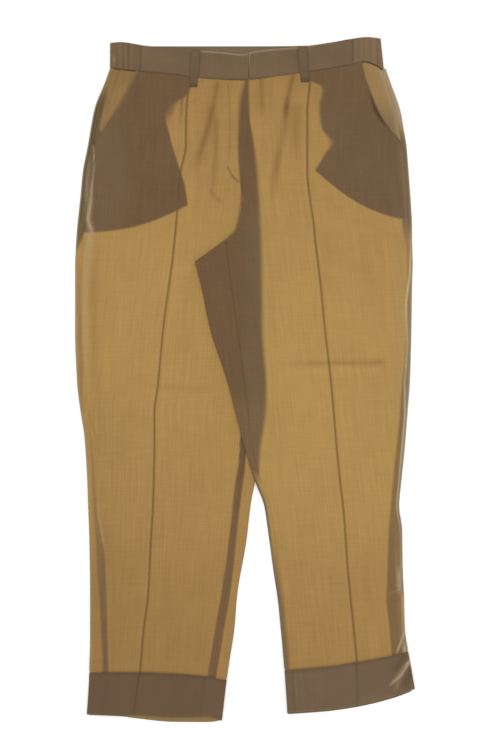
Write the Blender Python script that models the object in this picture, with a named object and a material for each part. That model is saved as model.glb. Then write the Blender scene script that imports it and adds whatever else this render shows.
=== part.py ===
# Linen trousers laid flat, front up, with the wearer's left leg lying over the right one.
# The tables and sizes are in millimetres and the finished objects in metres. +Y runs to the waist and
# +Z up from the surface they lie on. Left and right are the wearer's: the right leg is at -X.
# Each piece of cloth is a sheet through the middle of its wall, which a Solidify modifier thickens.
# x is measured from the centre front at the waist and y from the lowest point of the hem, until the
# last step moves the origin to the middle of the footprint.

import math
from collections import namedtuple

import bpy

CLOTH = 1.2        # wall of one layer of linen
DOUBLED = 1.6      # wall of the turned-up cuffs and the pocket bags
BAND = 2.0         # wall of the waistband
GAP = 0.3          # between two pieces at a seam or lying on each other
EDGE_LOFT = 1.5    # extra room between front and back at a folded edge
EDGE_REACH = 14.0  # how far in from the fold that room fades away
HIDDEN_LOFT = 0.3  # share of that room where the other leg lies on the fold
COVERED_TO = 300.0  # height down to which the left leg lies on the right leg's inner fold
COVERED_FADE = 20.0
TUCK_WIDE = 2.6    # half the width of the stitched crease down each front
TUCK_HIGH = 1.3    # how far that crease stands up
CREASE_ROOM = 5.0  # half the width of the cuff's own ridge over it
CUFF_RAMP = 26.0   # length over which a leg rises from the surface into its cuff
CUFF_LEVEL = 12.0  # the leg is fully raised this far above the cuff
HEM_SET_BACK = 2.5  # the leg ends this far above the lower edge of its cuff
CUFF_INSET = 2.6   # the leg is this much narrower at each side inside its cuff
INSET_FROM = 24.0  # height above the cuff where it begins to narrow
INSET_RAMP = 8.0
CUFF_LOFT = 0.42   # between the leg and the cuff round it
WAIST = 900.0      # height of the waistband's lower edge at the centre front
BAND_RAMP = 45.0   # length over which the panels rise to the waistband
BAND_LOFT = 0.9    # extra room in the waistband's folded side edges
BESIDE = 18.0      # the front stays raised for this far beside what lies under it
RAMP = 12.0        # and then comes down over this width
LAP_RAMP = 17.0    # the same where the left leg comes down from the right one
LAP_LEVEL = 3.0    # the left leg stays raised this far past the right leg's inner edge
LAP_ROOM = 1.5     # share of extra room between front and back on that slope
LAP_TOP = 731.0    # height of the front seam's lower end, where the lap of the legs begins
LAP_RISE = 22.0    # length over which the left panels climb onto the right leg above that
CROTCH = 676.0     # height of the point where the four panels meet
TIP = 645.0        # height of the tip where the left back panel is folded round
FOLD_STEPS = 4     # flat faces round each folded edge
ROUND_IN = 3.2     # the round of a folded edge begins about this far in from it
RIGHT_TURN = 706.0  # height from which the right back panel is folded round at its inner edge
INNER_LOFT = 45.0  # the room in the inner folds ends this far above the tip
BRIM = 6.5         # length of the back panel that shows beside a pocket mouth
SEAM_STRIP = 9.0   # width of the front's first strip beside the outseam
SEAM_CALM = 12.0   # folds fade out over this width beside a seam
WAIST_REACH = 75.0  # rows follow the waistband's curve over this length
HEM_REACH = 240.0  # and the hem's slant from this far above it
HEM_BLEND = 150.0
BACK_REACH = 25.0  # the back follows its own hem over this length
WALL_REACH = 4.0   # room between the pocket bag and the folded edge beside the mouth, in gaps

Row = namedtuple("Row", "y outer outseam crease inseam inner")
# outer is the folded outer edge of the tube and inner its edge towards the other leg. The front panel
# lies between outseam and inseam. Above the crotch its sides are the pocket mouth and the centre
# front, and inner is the centre back seam.
RIGHT = (
    Row(916, -189, -151, -76, 7, 4), Row(894, -197, -161, -78, 7, 4),
    Row(862, -210, -178, -82, 6, 4), Row(832, -216, -196, -83, 5, 4),
    Row(808, -220, -211, -83, 2, 4), Row(772, -227, -216, -90, -2, 4),
    Row(731, -231, -220, -94, -5, 4), Row(682, -236, -226, -98, 9, 22),
    Row(645, -238, -229, -102, 11, 23), Row(549, -238, -229, -115, 11, 24),
    Row(474, -235, -223, -122, 11, 29), Row(433, -230, -219, -127, 7, 29),
    Row(400, -225, -215, -127, 3, 23), Row(338, -221, -211, -128, -7, 14),
    Row(306, -220, -208, -129, -11, 8), Row(255, -218, -200, -132, -18, 2),
    Row(178, -217, -195, -136, -27, -11), Row(131, -217, -193, -142, -36, -15),
    Row(72, -218, -192, -147, -44, -24), Row(5, -222, -196, -153, -52, -32),
)
LEFT = (
    Row(922, 195, 163, 92, 7, 4), Row(898, 203, 169, 91, 7, 4),
    Row(855, 218, 184, 87, 6, 4), Row(832, 222, 200, 87, 5, 4),
    Row(808, 226, 219, 87, 2, 4), Row(772, 229, 223, 87, -2, 4),
    Row(731, 232, 226, 91, -5, 4), Row(690, 234, 228, 97, -13, -13),
    Row(CROTCH, 234, 228, 98, -27, -27), Row(TIP, 235, 228, 102, -23, -70),
    Row(610, 234, 228, 106, -19, -61), Row(549, 233, 227, 112, -10, -48),
    Row(479, 231, 225, 120, -1, -25), Row(437, 228, 222, 124, 4, -14),
    Row(376, 223, 217, 129, 13, 2), Row(338, 219, 213, 133, 23, 14),
    Row(303, 216, 210, 137, 35, 27), Row(270, 220, 213, 140, 41, 32),
    Row(211, 221, 214, 144, 49, 40), Row(171, 223, 217, 148, 55, 46),
    Row(131, 224, 218, 152, 59, 50), Row(76, 233, 226, 157, 64, 55),
    Row(20, 243, 235, 160, 68, 59),
)

Edge = namedtuple("Edge", "x y")
BAND_TOP_BACK = (Edge(-189, 951), Edge(-176, 953), Edge(-129, 947), Edge(10, 947), Edge(95, 948),
                 Edge(146, 957), Edge(172, 960), Edge(190, 958))
BAND_TOP_FRONT = (Edge(-189, 951), Edge(-176, 952), Edge(-146, 948), Edge(-63, 941), Edge(-34, 939),
                  Edge(-1, 936), Edge(5, 938), Edge(18, 941), Edge(49, 944), Edge(77, 946),
                  Edge(148, 956), Edge(172, 959), Edge(190, 957))
BAND_BOTTOM = (Edge(-189, 916), Edge(-151, 912), Edge(-91, 906), Edge(-77, 903), Edge(-1, 899),
               Edge(10, 900), Edge(49, 905), Edge(91, 911), Edge(146, 920), Edge(167, 925),
               Edge(181, 921), Edge(196, 911))
BACK_WAIST = (Edge(-189, 916), Edge(196, 911))  # the lower edge of the waistband on the back

Hem = namedtuple("Hem", "x front back cuff_top")
HEMS = {
    "right": (Hem(-222, 11, 9, 70), Hem(-148, 9, 4, 70), Hem(-100, 7, 0, 68), Hem(-52, 8, 0, 64),
              Hem(-32, 3, 0, 60)),
    "left": (Hem(59, 14, 11, 73), Hem(114, 18, 15, 78), Hem(161, 25, 22, 85), Hem(209, 37, 34, 94),
             Hem(238, 48, 45, 102)),
}

Bag = namedtuple("Bag", "inner_x inner_y")
# The pocket bag's edge towards the centre, from the waistband down to its lower inner corner.
BAGS = {
    "right": (Bag(-74, 900), Bag(-80, 879), Bag(-103, 866), Bag(-111, 849), Bag(-106, 824),
              Bag(-95, 786), Bag(-84, 750), Bag(-80, 724)),
    "left": (Bag(94, 907), Bag(109, 889), Bag(104, 863), Bag(107, 833), Bag(122, 811),
             Bag(113, 797), Bag(98, 773)),
}
BAG_FOOT = {"right": 686.0, "left": 705.0}  # height of the bag's lower outer corner
BAG_SAG = {"right": 9.0, "left": 11.0}      # how far its lower edge bulges down between the corners
BAG_ROWS = 3       # rows of the bag's grid between two points of its inner edge
BAG_TUCKED = 12.0  # the bag ends this far in from the outseam below the pocket mouth
MOUTH_END = 808.0  # height of the lower end of the pocket mouth
MOUTH_FADE = 22.0  # length over which the bag's outer edge goes under the front there

Shield = namedtuple("Shield", "y west east")
SHIELD = (Shield(893, -4, 6), Shield(864, -8, 6), Shield(808, -10, 12), Shield(769, -8, 18),
          Shield(758, -7, 19))

Fold = namedtuple("Fold", "x0 y0 x1 y1 half high")
# The largest soft folds: both ends of each ridge, its half width and its height.
FOLDS = (
    Fold(-58, 896, -80, 790, 8, 1.1), Fold(-30, 893, -52, 760, 8, 1.0), Fold(52, 894, 26, 762, 8, 1.1),
    Fold(78, 888, 60, 760, 7, 0.9), Fold(-190, 470, -40, 467, 7, 0.6), Fold(35, 492, 190, 498, 8, 0.9),
    Fold(-60, 690, -120, 640, 14, 1.0), Fold(60, 660, 150, 600, 15, 0.9), Fold(-180, 330, -90, 300, 16, 0.7),
    Fold(80, 330, 190, 290, 15, 0.8), Fold(219, 211, 208, 176, 8, 1.0), Fold(-80, 200, -180, 160, 15, 0.7),
)
LOOPS = {"right": (-69.0, -72.0), "left": (80.0, 84.0)}  # x of each belt loop's top and lower end
LOOP_WIDE = 12.5
LOOP_PAST = 13.0   # length of a belt loop below the waistband
LAP_STEP = 0.7     # the right end of the front waistband stands this much over the left end
STEP_RAMP = 26.0   # length over which it rises
BAG_FADE = 0.45    # share of the bag's thickness still felt at the waistband's upper edge
BAND_SEAM = {"right": -146.0, "left": 150.0}  # where the flat front meets the gathered sides
BAND_END = {"right": (-189.0, -189.0), "left": (194.5, 190.0)}  # x of its side edges, below and above
BAND_LAP = 5.3     # x of the waistband's closing edge at the centre front
RIPPLE_LONG = 9.4  # spacing of the small gathers along the elastic sides
RIPPLE_HIGH = 0.35

GOLD = (0.41, 0.24, 0.075)
BROWN = (0.15, 0.095, 0.052)


def ease(t):
    """Goes smoothly from 0 to 1 while t does."""
    t = min(1.0, max(0.0, t))
    return t * t * (3.0 - 2.0 * t)


def mix(a, b, t):
    return a + (b - a) * t


def curve(points, at):
    """Reads a smooth curve through (key, value) points in rising order of key, with no overshoot."""
    if at <= points[0][0]:
        return points[0][1]
    if at >= points[-1][0]:
        return points[-1][1]
    slopes = [(b[1] - a[1]) / (b[0] - a[0]) for a, b in zip(points, points[1:])]

    def tangent(i, side):
        if i in (0, len(points) - 1) or points[i][0] in (CROTCH, TIP):
            return slopes[side]
        a, b = slopes[i - 1], slopes[i]
        return 0.0 if a * b <= 0.0 else 2.0 * a * b / (a + b)

    i = next(k for k in range(len(slopes)) if at <= points[k + 1][0])
    span = points[i + 1][0] - points[i][0]
    t = (at - points[i][0]) / span
    m0, m1 = tangent(i, i) * span, tangent(i + 1, i) * span
    return ((2 * t**3 - 3 * t**2 + 1) * points[i][1] + (t**3 - 2 * t**2 + t) * m0
            + (3 * t**2 - 2 * t**3) * points[i + 1][1] + (t**3 - t**2) * m1)


def columns_of(table):
    rows = sorted(table, key=lambda row: row.y)
    return {name: [(row.y, getattr(row, name)) for row in rows] for name in Row._fields[1:]}


SIDES = {"right": columns_of(RIGHT), "left": columns_of(LEFT)}
OUTWARD = {"right": -1.0, "left": 1.0}  # the way from the centre to the outer edge along x


def leg(side, name, y):
    return curve(SIDES[side][name], y)


def edge_y(edges, x):
    return curve([(e.x, e.y) for e in edges], x)


def hem_y(side, column, x):
    return curve([(h.x, getattr(h, column)) for h in HEMS[side]], x)


def shield_x(column, y):
    return curve([(s.y, getattr(s, column)) for s in reversed(SHIELD)], y)


def bag_inner_x(side, y):
    points = [(b.inner_y, b.inner_x) for b in reversed(BAGS[side])]
    return curve(points, y)


def bag_foot_y(side, x):
    """The height of the pocket bag's lower edge at x."""
    corner = BAGS[side][-1]
    outer = leg(side, "outseam", BAG_FOOT[side]) - OUTWARD[side] * BAG_TUCKED
    t = min(1.0, max(0.0, (x - corner.inner_x) / (outer - corner.inner_x)))
    return mix(corner.inner_y, BAG_FOOT[side], t) - BAG_SAG[side] * math.sin(math.pi * t)


def bag_outer_x(side, y):
    """The bag's outer edge: the facing reaches the side beside the mouth, and below it is tucked in."""
    beside = leg(side, "outer", y) - OUTWARD[side] * (BRIM + WALL_REACH * GAP)
    tucked = leg(side, "outseam", y) - OUTWARD[side] * BAG_TUCKED
    return mix(tucked, beside, ease((y - MOUTH_END) / MOUTH_FADE))


# Heights. Each function gives the middle of a wall above the surface, in millimetres.

def cuff_rise(side, x, y):
    return (DOUBLED + GAP) * ease((hem_y(side, "cuff_top", x) + CUFF_LEVEL + CUFF_RAMP - y) / CUFF_RAMP)


def lap_share(x, y):
    """1 where the right leg lies under the left one, fading to 0 beside and above it."""
    beside = 1.0 - (x - LAP_LEVEL - leg("right", "inner", min(y, LAP_TOP))) / LAP_RAMP
    above = (LAP_TOP + LAP_RISE - y) / LAP_RISE
    return ease(beside) * ease(above)


def covered(side, y):
    """1 where the right leg's inner edge is under the left leg."""
    return ease((y - COVERED_TO) / COVERED_FADE) if side == "right" else 0.0


def low(side, x, y):
    """The back panel's height."""
    lift = 2.0 * (CLOTH + GAP) + EDGE_LOFT * HIDDEN_LOFT + 2.0 * GAP
    over = lift * lap_share(x, y) if side == "left" else 0.0
    band = (BAND - CLOTH) / 2.0 * ease((y - WAIST + BAND_RAMP) / BAND_RAMP)
    return CLOTH / 2.0 + cuff_rise(side, x, y) + over + band


def uneven(x, y):
    """Two long waves along the legs, so the folded edges are not equally full everywhere."""
    return 1.0 + 0.22 * math.sin(y / 47.0 + x / 90.0) + 0.13 * math.sin(y / 19.0 + 1.3)


def edge_room(side, x, y):
    out = OUTWARD[side]
    outer = ease(1.0 - (leg(side, "outer", y) - x) * out / EDGE_REACH)
    inner = ease(1.0 - (x - leg(side, "inner", y)) * out / EDGE_REACH) if y < TIP + INNER_LOFT else 0.0
    inner *= mix(1.0, HIDDEN_LOFT, covered(side, y))
    return EDGE_LOFT * max(outer, inner) * uneven(x, y)


def upper(side, x, y):
    """The height of a sheet that lies flat on the back panel."""
    band = (BAND - CLOTH / 2.0) * ease((y - WAIST + BAND_RAMP) / BAND_RAMP)
    lap = lap_share(x, y) if side == "left" else 0.0
    slope = LAP_ROOM * lap * (1.0 - lap)
    return low(side, x, y) + CLOTH + GAP + slope + band


def turned(side, x, y):
    """The height of the back panel's edges that are turned over to the front."""
    return upper(side, x, y) + edge_room(side, x, y)


def pocket_rise(side, x, y):
    out = OUTWARD[side]
    inner = ((x - bag_inner_x(side, min(y, WAIST))) * out + BESIDE + RAMP) / RAMP
    outer = ((bag_outer_x(side, y) - x) * out + SEAM_STRIP + 5.0) / (SEAM_STRIP - 1.0)
    foot = (y - bag_foot_y(side, x) + BESIDE + RAMP) / RAMP
    return (DOUBLED + GAP) * ease(inner) * ease(outer) * ease(foot)


def shield_rise(x, y):
    beside = (min(x - shield_x("west", y), shield_x("east", y) - x) + BESIDE + RAMP) / RAMP
    below = (y - SHIELD[-1].y + BESIDE + RAMP) / RAMP
    return (CLOTH + GAP) * ease(beside) * ease(below)


def fold_height(x, y):
    total = 0.0
    for f in FOLDS:
        dx, dy = f.x1 - f.x0, f.y1 - f.y0
        length = math.hypot(dx, dy)
        along = ((x - f.x0) * dx + (y - f.y0) * dy) / length
        across = ((y - f.y0) * dx - (x - f.x0) * dy) / length
        ends = ease(along / (0.3 * length)) * ease((length - along) / (0.3 * length))
        total += f.high * ends * math.exp(-((across / f.half) ** 2))
    return total


def front(side, x, y):
    """The front panel's height: what is under it and its soft folds raise it."""
    beside = min(abs(x - leg(side, "outseam", y)), abs(x - leg(side, "inseam", y)))
    folds = fold_height(x, y) * ease(beside / SEAM_CALM)
    return turned(side, x, y) + pocket_rise(side, x, y) + shield_rise(x, y) + folds


def tuck(side, x, y):
    """How far the stitched crease stands up: it starts below the belt loop."""
    return TUCK_HIGH * ease((edge_y(BAND_BOTTOM, x) - LOOP_PAST - y) / 14.0)


def band_front_z(side, x, share):
    """The front waistband, with share 0 at its lower edge and 1 at its upper one."""
    bottom = edge_y(BAND_BOTTOM, x)
    bag = pocket_rise(side, x, bottom - BRIM) * mix(1.0, BAG_FADE, share)
    lap = LAP_STEP * ease(1.0 + (x - BAND_LAP) / STEP_RAMP) if side == "right" else 0.0
    return BAND / 2.0 + BAND + GAP + bag + lap


# Building

def sheet(name, rows, wall, paint, loop=False):
    """Makes a piece from rows of points, with None where a row has no point, and gives it its wall."""
    points, number = [], {}
    for j, row in enumerate(rows):
        for i, p in enumerate(row):
            if p is not None:
                number[i, j] = len(points)
                points.append(tuple(c / 1000.0 for c in p))
    wide = len(rows[0])
    faces = []
    for j in range(len(rows) - 1):
        for i in range(wide if loop else wide - 1):
            k = (i + 1) % wide
            corners = [(i, j), (k, j), (k, j + 1), (i, j + 1)]
            if all(c in number for c in corners):
                a, b, c, d = [number[at] for at in corners]
                # Sheets that lie on each other are cut on the same diagonal, so their faces keep apart.
                rising = points[b][0] >= points[a][0]
                faces += [(a, b, c), (a, c, d)] if rising else [(a, b, d), (b, c, d)]
    mesh = bpy.data.meshes.new(name)
    mesh.from_pydata(points, [], faces)
    mesh.materials.append(paint)
    mesh.shade_smooth()
    mesh.set_sharp_from_angle(angle=math.radians(50))
    made = bpy.data.objects.new(name, mesh)
    bpy.context.scene.collection.objects.link(made)
    wall_maker = made.modifiers.new("wall", "SOLIDIFY")
    wall_maker.thickness = wall / 1000.0
    wall_maker.offset = 0.0
    wall_maker.use_even_offset = True
    return made


def material(name, colour, roughness):
    made = bpy.data.materials.new(name)
    made.use_nodes = True
    shader = made.node_tree.nodes["Principled BSDF"]
    shader.inputs["Base Color"].default_value = (*colour, 1.0)
    shader.inputs["Roughness"].default_value = roughness
    shader.inputs["Metallic"].default_value = 0.0
    return made


def row_heights(side):
    """The heights of the rows of a leg's grid: closer in the trunk and at the cuff."""
    top = 905.0 if side == "right" else 911.0
    trunk = [top, 893.0, 878.0, 862.0, 847.0, 832.0, 820.0, 814.0, 808.0, 797.0, 784.0, 770.0, 754.0,
             742.0, 731.0, 720.0, 706.0, 690.0, CROTCH, 660.0, TIP]
    straight = [TIP - 31.0 * k for k in range(1, 18)]
    foot = {"right": [93.0, 82.0, 68.0, 36.0, 0.0], "left": [112.0, 100.0, 84.0, 52.0, 20.0]}[side]
    return trunk + [y for y in straight if y > foot[0] + 12.0] + foot


def settle(side, x, y, face):
    """Moves a point of a row to where the row runs along the waistband or the hem."""
    rows = row_heights(side)
    waist = edge_y(BAND_BOTTOM if face == "front" else BACK_WAIST, x)
    gap = GAP * (1.8 if face == "front" else 3.0)
    top = (waist - gap - rows[0]) * ease((y - rows[0] + WAIST_REACH) / WAIST_REACH)
    hem = hem_y(side, "front", x)
    foot = (hem + HEM_SET_BACK - rows[-1]) * ease((rows[-1] + HEM_REACH - y) / HEM_BLEND)
    last = (hem_y(side, face, x) - hem) * ease((rows[-1] + BACK_REACH - y) / BACK_REACH)
    return y + top + foot + last


def inset(side, x, y):
    """How much narrower the leg is at each side where it goes into its cuff."""
    return CUFF_INSET * ease((hem_y(side, "cuff_top", x) + INSET_FROM - y) / INSET_RAMP)


def spread(a, b, count):
    return [mix(a, b, i / count) for i in range(count + 1)]


def inner_columns(side, start, y):
    """Columns beside the inner edge or seam, the same in front and back. On the left leg they mark where
    it comes down from the right one."""
    out = OUTWARD[side]
    seam = leg(side, "inseam", y)
    first = seam + out * RAMP
    if side == "left":
        first = max(first, leg("right", "inner", min(y, LAP_TOP)) + 2.0)
    seam = start + out * max(1.0, (seam - start) * out)
    return [start, seam, mix(seam, first, 0.5), first, first + out * LAP_RAMP / 2.0,
            first + out * (LAP_RAMP + 2.0)]


def seam_point(side, name, y, shift):
    """Where a seam of the front crosses a row."""
    at = settle(side, leg(side, name, y), y, "front")
    return leg(side, name, at) + shift, at


def front_panel(side, paint):
    out = OUTWARD[side]
    rows = []
    for y in row_heights(side):
        outseam = seam_point(side, "outseam", y, -out * GAP / 2.0)[0]
        crease = seam_point(side, "crease", y, 0.0)[0]
        inseam = seam_point(side, "inseam", y, out * GAP / 2.0)[0]
        inner = [inseam] + inner_columns(side, inseam, y)[2:]
        inner = inner[::-1]
        xs = ([outseam] + spread(outseam - out * SEAM_STRIP, crease + out * TUCK_WIDE, 5) + [crease]
              + spread(crease - out * TUCK_WIDE, inner[0], 2)[:-1] + inner)
        row = []
        for i, x in enumerate(xs):
            at = settle(side, x, y, "front")
            row.append((x, at, front(side, x, at) + (tuck(side, x, at) if i == 7 else 0.0)))
        rows.append(row if side == "right" else row[::-1])
    return sheet(f"front_{side}", rows, CLOTH, paint)


def fold_points(side, edge, under_y, top_y, towards):
    """The round of a folded edge, from the underside up to the turned-over top."""
    bottom, top = low(side, edge, under_y), turned(side, edge, top_y)
    radius = (top - bottom) / 2.0
    centre = edge - towards * (radius + CLOTH / 2.0)
    points = []
    for k in range(FOLD_STEPS + 1):
        angle = math.pi * (k / FOLD_STEPS) - math.pi / 2.0
        points.append((centre + towards * radius * math.cos(angle), mix(under_y, top_y, k / FOLD_STEPS),
                       bottom + radius * (1.0 + math.sin(angle))))
    return points


def edge_point(side, name, y, towards):
    """The outermost point of a row and its heights on the underside and on top."""
    edge = leg(side, name, y)
    under_y = settle(side, edge, y, "back")
    top_y = settle(side, edge - towards * ROUND_IN, y, "front")
    edge = leg(side, name, top_y)
    return edge - towards * inset(side, edge, top_y), under_y, top_y


def back_panel(side, paint):
    """The back panel: its outer edge is turned over to the outseam, and below the crotch its inner edge
    is turned over to the inseam."""
    out = OUTWARD[side]
    turn_from = TIP if side == "left" else RIGHT_TURN
    rows = []
    for y in row_heights(side):
        edge, under_y, top_y = edge_point(side, "outer", y, out)
        fold = fold_points(side, edge, under_y, top_y, out)[::-1]
        seam, seam_y = seam_point(side, "outseam", y, out * GAP / 2.0)
        mouth = ease((top_y - MOUTH_END + 4.0) / 8.0)
        brim = mix(seam, edge - out * BRIM, mouth)
        brim_y = mix(seam_y, settle(side, brim, y, "front"), mouth)
        wrap = [(brim, brim_y, turned(side, brim, brim_y))]
        if y <= turn_from:
            edge, under_y, top_y = edge_point(side, "inner", y, -out)
            turn = fold_points(side, edge, under_y, top_y, -out)
            start = turn[0][0]
            strip = strip_points(side, turn[-1], y)
        else:
            start = leg(side, "inner", y) + out * GAP / 2.0
            under_y = settle(side, start, y, "back")
            turn = [(start, under_y, low(side, start, under_y))] + [None] * FOLD_STEPS
            strip = [None] * 2
        inner = inner_columns(side, start, y)
        flat = []
        for x in spread(fold[-1][0], inner[-1], 4)[1:-1] + inner[:0:-1]:
            at = settle(side, x, y, "back")
            flat.append((x, at, low(side, x, at)))
        row = wrap + fold + flat + turn + strip
        rows.append(row if side == "left" else row[::-1])
    return sheet(f"back_{side}", rows, CLOTH, paint)


def strip_points(side, start, y):
    """The turned-over strip between the inner fold and the inseam. On the left leg its upper end climbs
    from the folded tip to the point of the crotch."""
    out = OUTWARD[side]
    climb = (CROTCH - TIP - 1.0) * ease((y - 540.0) / (TIP - 540.0)) if side == "left" else 0.0
    end, end_y = seam_point(side, "inseam", y + climb, -out * GAP / 2.0)
    points = []
    for share in (0.5, 1.0):
        x, at = mix(start[0], end, share), mix(start[1], end_y, share)
        points.append((x, at, turned(side, x, at)))
    return points


def pocket(side, paint):
    """The pocket bag between front and back, with the facing that shows in the slanted mouth."""
    rows = []
    bag = BAGS[side]
    for k in range(len(bag) * BAG_ROWS - BAG_ROWS + 1):
        share = k / (len(bag) * BAG_ROWS - BAG_ROWS)
        i = min(k // BAG_ROWS, len(bag) - 2)
        t = k / BAG_ROWS - i
        inner_x = mix(bag[i].inner_x, bag[i + 1].inner_x, t)
        inner_y = mix(bag[i].inner_y, bag[i + 1].inner_y, t)
        top = edge_y(BAND_BOTTOM, leg(side, "outer", 905.0)) - 4.0 * GAP
        outer_y = mix(top, BAG_FOOT[side], share)
        outer_x = bag_outer_x(side, outer_y)
        row = []
        for u in (0.0, 0.06, 0.13, 0.22, 0.34, 0.5, 0.68, 0.84, 1.0):
            x = mix(outer_x, inner_x, u)
            y = mix(outer_y, inner_y, u)
            if k == 0:
                y = edge_y(BAND_BOTTOM, x) - 4.0 * GAP
            y -= BAG_SAG[side] * math.sin(math.pi * u) * ease((share - 0.6) / 0.4)
            row.append((x, y, upper(side, x, y) - CLOTH / 2.0 + DOUBLED / 2.0))
        rows.append(row if side == "right" else row[::-1])
    return sheet(f"pocket_{side}", rows, DOUBLED, paint)


def fly_shield(paint):
    """The strip behind the fly, which lies between the fronts and the backs."""
    rows = []
    for y in spread(SHIELD[0].y, SHIELD[-1].y, 8):
        xs = spread(shield_x("west", y), shield_x("east", y), 2)
        rows.append([(x, y, upper("right", x, y)) for x in xs])
    return sheet("fly_shield", rows, CLOTH, paint)


def ripple(x, side):
    """The small gathers along the elastic part of the waistband."""
    reach = ease((x - BAND_SEAM[side]) * OUTWARD[side] / 8.0)
    return RIPPLE_HIGH * reach * math.sin(2.0 * math.pi * x / RIPPLE_LONG)


def band_back(paint):
    """The elastic waistband round the back and the sides, turned over at both side edges."""
    rows = []
    for share in (0.0, 0.5, 1.0):
        row = []
        for side in ("right", "left"):
            out = OUTWARD[side]
            edge = mix(*BAND_END[side], share)
            bottom, top = BAND / 2.0, band_front_z(side, edge, share) + BAND_LOFT
            radius = (top - bottom) / 2.0
            centre = edge - out * (radius + BAND / 2.0)
            top_y = mix(edge_y(BAND_BOTTOM, centre), edge_y(BAND_TOP_FRONT, centre), share)
            under_y = mix(edge_y(BACK_WAIST, centre), edge_y(BAND_TOP_BACK, centre), share)
            seam = BAND_SEAM[side] + out * GAP / 2.0
            over = []
            for x in spread(seam, centre, 9)[:-1]:
                near = ease(1.0 - abs(centre - x) / EDGE_REACH)
                z = band_front_z(side, x, share) + BAND_LOFT * near + ripple(x, side)
                over.append((x, mix(edge_y(BAND_BOTTOM, x), edge_y(BAND_TOP_FRONT, x), share), z))
            turn = []
            for k in range(FOLD_STEPS + 1):
                angle = math.pi / 2.0 - math.pi * k / FOLD_STEPS
                turn.append((centre + out * radius * math.cos(angle), mix(top_y, under_y, k / FOLD_STEPS),
                             bottom + radius * (1.0 + math.sin(angle))))
            half = over + turn
            if side == "right":
                row += half
                last = centre
            else:
                under = spread(last, centre, 14)[1:-1]
                row += [(x, mix(edge_y(BACK_WAIST, x), edge_y(BAND_TOP_BACK, x), share), BAND / 2.0)
                        for x in under]
                row += half[::-1]
        rows.append(row[::-1])
    return sheet("band_back", rows, BAND, paint)


def band_front(side, paint):
    """One half of the flat front waistband. The right half ends over the left one at the fly."""
    out = OUTWARD[side]
    ends = (BAND_SEAM[side] - out * GAP / 2.0, BAND_LAP + out * GAP / 2.0)
    rows = []
    for share in (0.0, 0.5, 1.0):
        row = []
        for x in spread(*ends, 10):
            y = mix(edge_y(BAND_BOTTOM, x), edge_y(BAND_TOP_FRONT, x), share)
            row.append((x, y, band_front_z(side, x, share)))
        rows.append(row[::-1] if side == "right" else row)
    return sheet(f"band_front_{side}", rows, BAND, paint)


def belt_loop(side, paint):
    """A belt loop, laid on the waistband and on the front below it."""
    top_x, foot_x = LOOPS[side]
    bottom = edge_y(BAND_BOTTOM, top_x)
    top = edge_y(BAND_TOP_FRONT, top_x) - 1.0
    rows = []
    for y in (top, mix(top, bottom, 0.5), bottom + 4.0, bottom - 4.0, bottom - LOOP_PAST):
        middle = mix(foot_x, top_x, (y - bottom + LOOP_PAST) / (top - bottom + LOOP_PAST))
        xs = spread(middle - LOOP_WIDE / 2.0, middle + LOOP_WIDE / 2.0, 2)
        share = (y - bottom) / (top + 1.0 - bottom)
        around = [middle + d for d in (-12.0, -6.0, 0.0, 6.0, 12.0)]
        if y > bottom:
            z = max(band_front_z(side, x, share) for x in around) + BAND / 2.0
        else:
            z = max(front(side, x, y) for x in around) + CLOTH / 2.0
        rows.append([(x, y, z + GAP + CLOTH / 2.0) for x in xs[::-1]])
    return sheet(f"belt_loop_{side}", rows, CLOTH, paint)


def cuff_columns(side, inner, crease, outer):
    """Columns across a cuff, with three of them over the stitched crease."""
    out = OUTWARD[side]
    return (spread(inner, crease - out * CREASE_ROOM, 3)[1:] + [crease]
            + spread(crease + out * CREASE_ROOM, outer, 3)[:-1])


def cuff_edge(side, name, share):
    """Where a line of the leg crosses the cuff, from 0 at its lower edge to 1 at its upper one."""
    x = leg(side, name, 0.0)
    for _ in range(3):
        x = leg(side, name, mix(hem_y(side, "front", x), hem_y(side, "cuff_top", x), share))
    return x


def cuff(side, paint):
    """The turned-up cuff: a flat ring round the foot of the leg."""
    out = OUTWARD[side]
    clear = CLOTH / 2.0 + CUFF_LOFT + DOUBLED / 2.0
    rows = []
    for share in (1.0, 0.62, 0.25, 0.0):
        crease = cuff_edge(side, "crease", share)
        turns = {}
        for towards, name in ((out, "outer"), (-out, "inner")):
            edge = cuff_edge(side, name, share)
            y = mix(hem_y(side, "front", edge), hem_y(side, "cuff_top", edge), share)
            back_y = mix(hem_y(side, "back", edge), hem_y(side, "cuff_top", edge), share)
            bottom = DOUBLED / 2.0
            radius = (turned(side, edge, y) + clear - bottom) / 2.0
            centre = edge - towards * (radius + DOUBLED / 2.0)
            turns[name] = []
            for k in range(FOLD_STEPS + 1):
                angle = math.pi / 2.0 - math.pi * k / FOLD_STEPS
                x = centre + towards * radius * math.cos(angle)
                z = bottom + radius * (1.0 + math.sin(angle))
                turns[name].append((x, mix(y, back_y, k / FOLD_STEPS), z))
        columns = cuff_columns(side, turns["inner"][0][0], crease, turns["outer"][0][0])
        over, under = [], []
        for x in columns:
            y = mix(hem_y(side, "front", x), hem_y(side, "cuff_top", x), share)
            raised = TUCK_HIGH if x == crease else 0.0
            over.append((x, y, turned(side, x, y) + clear + raised))
            y = mix(hem_y(side, "back", x), hem_y(side, "cuff_top", x), share)
            under.append((x, y, DOUBLED / 2.0))
        ring = over + turns["outer"] + under[::-1] + turns["inner"][::-1]
        rows.append(ring if side == "left" else ring[::-1])
    return sheet(f"cuff_{side}", rows[::-1], DOUBLED, paint, loop=True)


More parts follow.
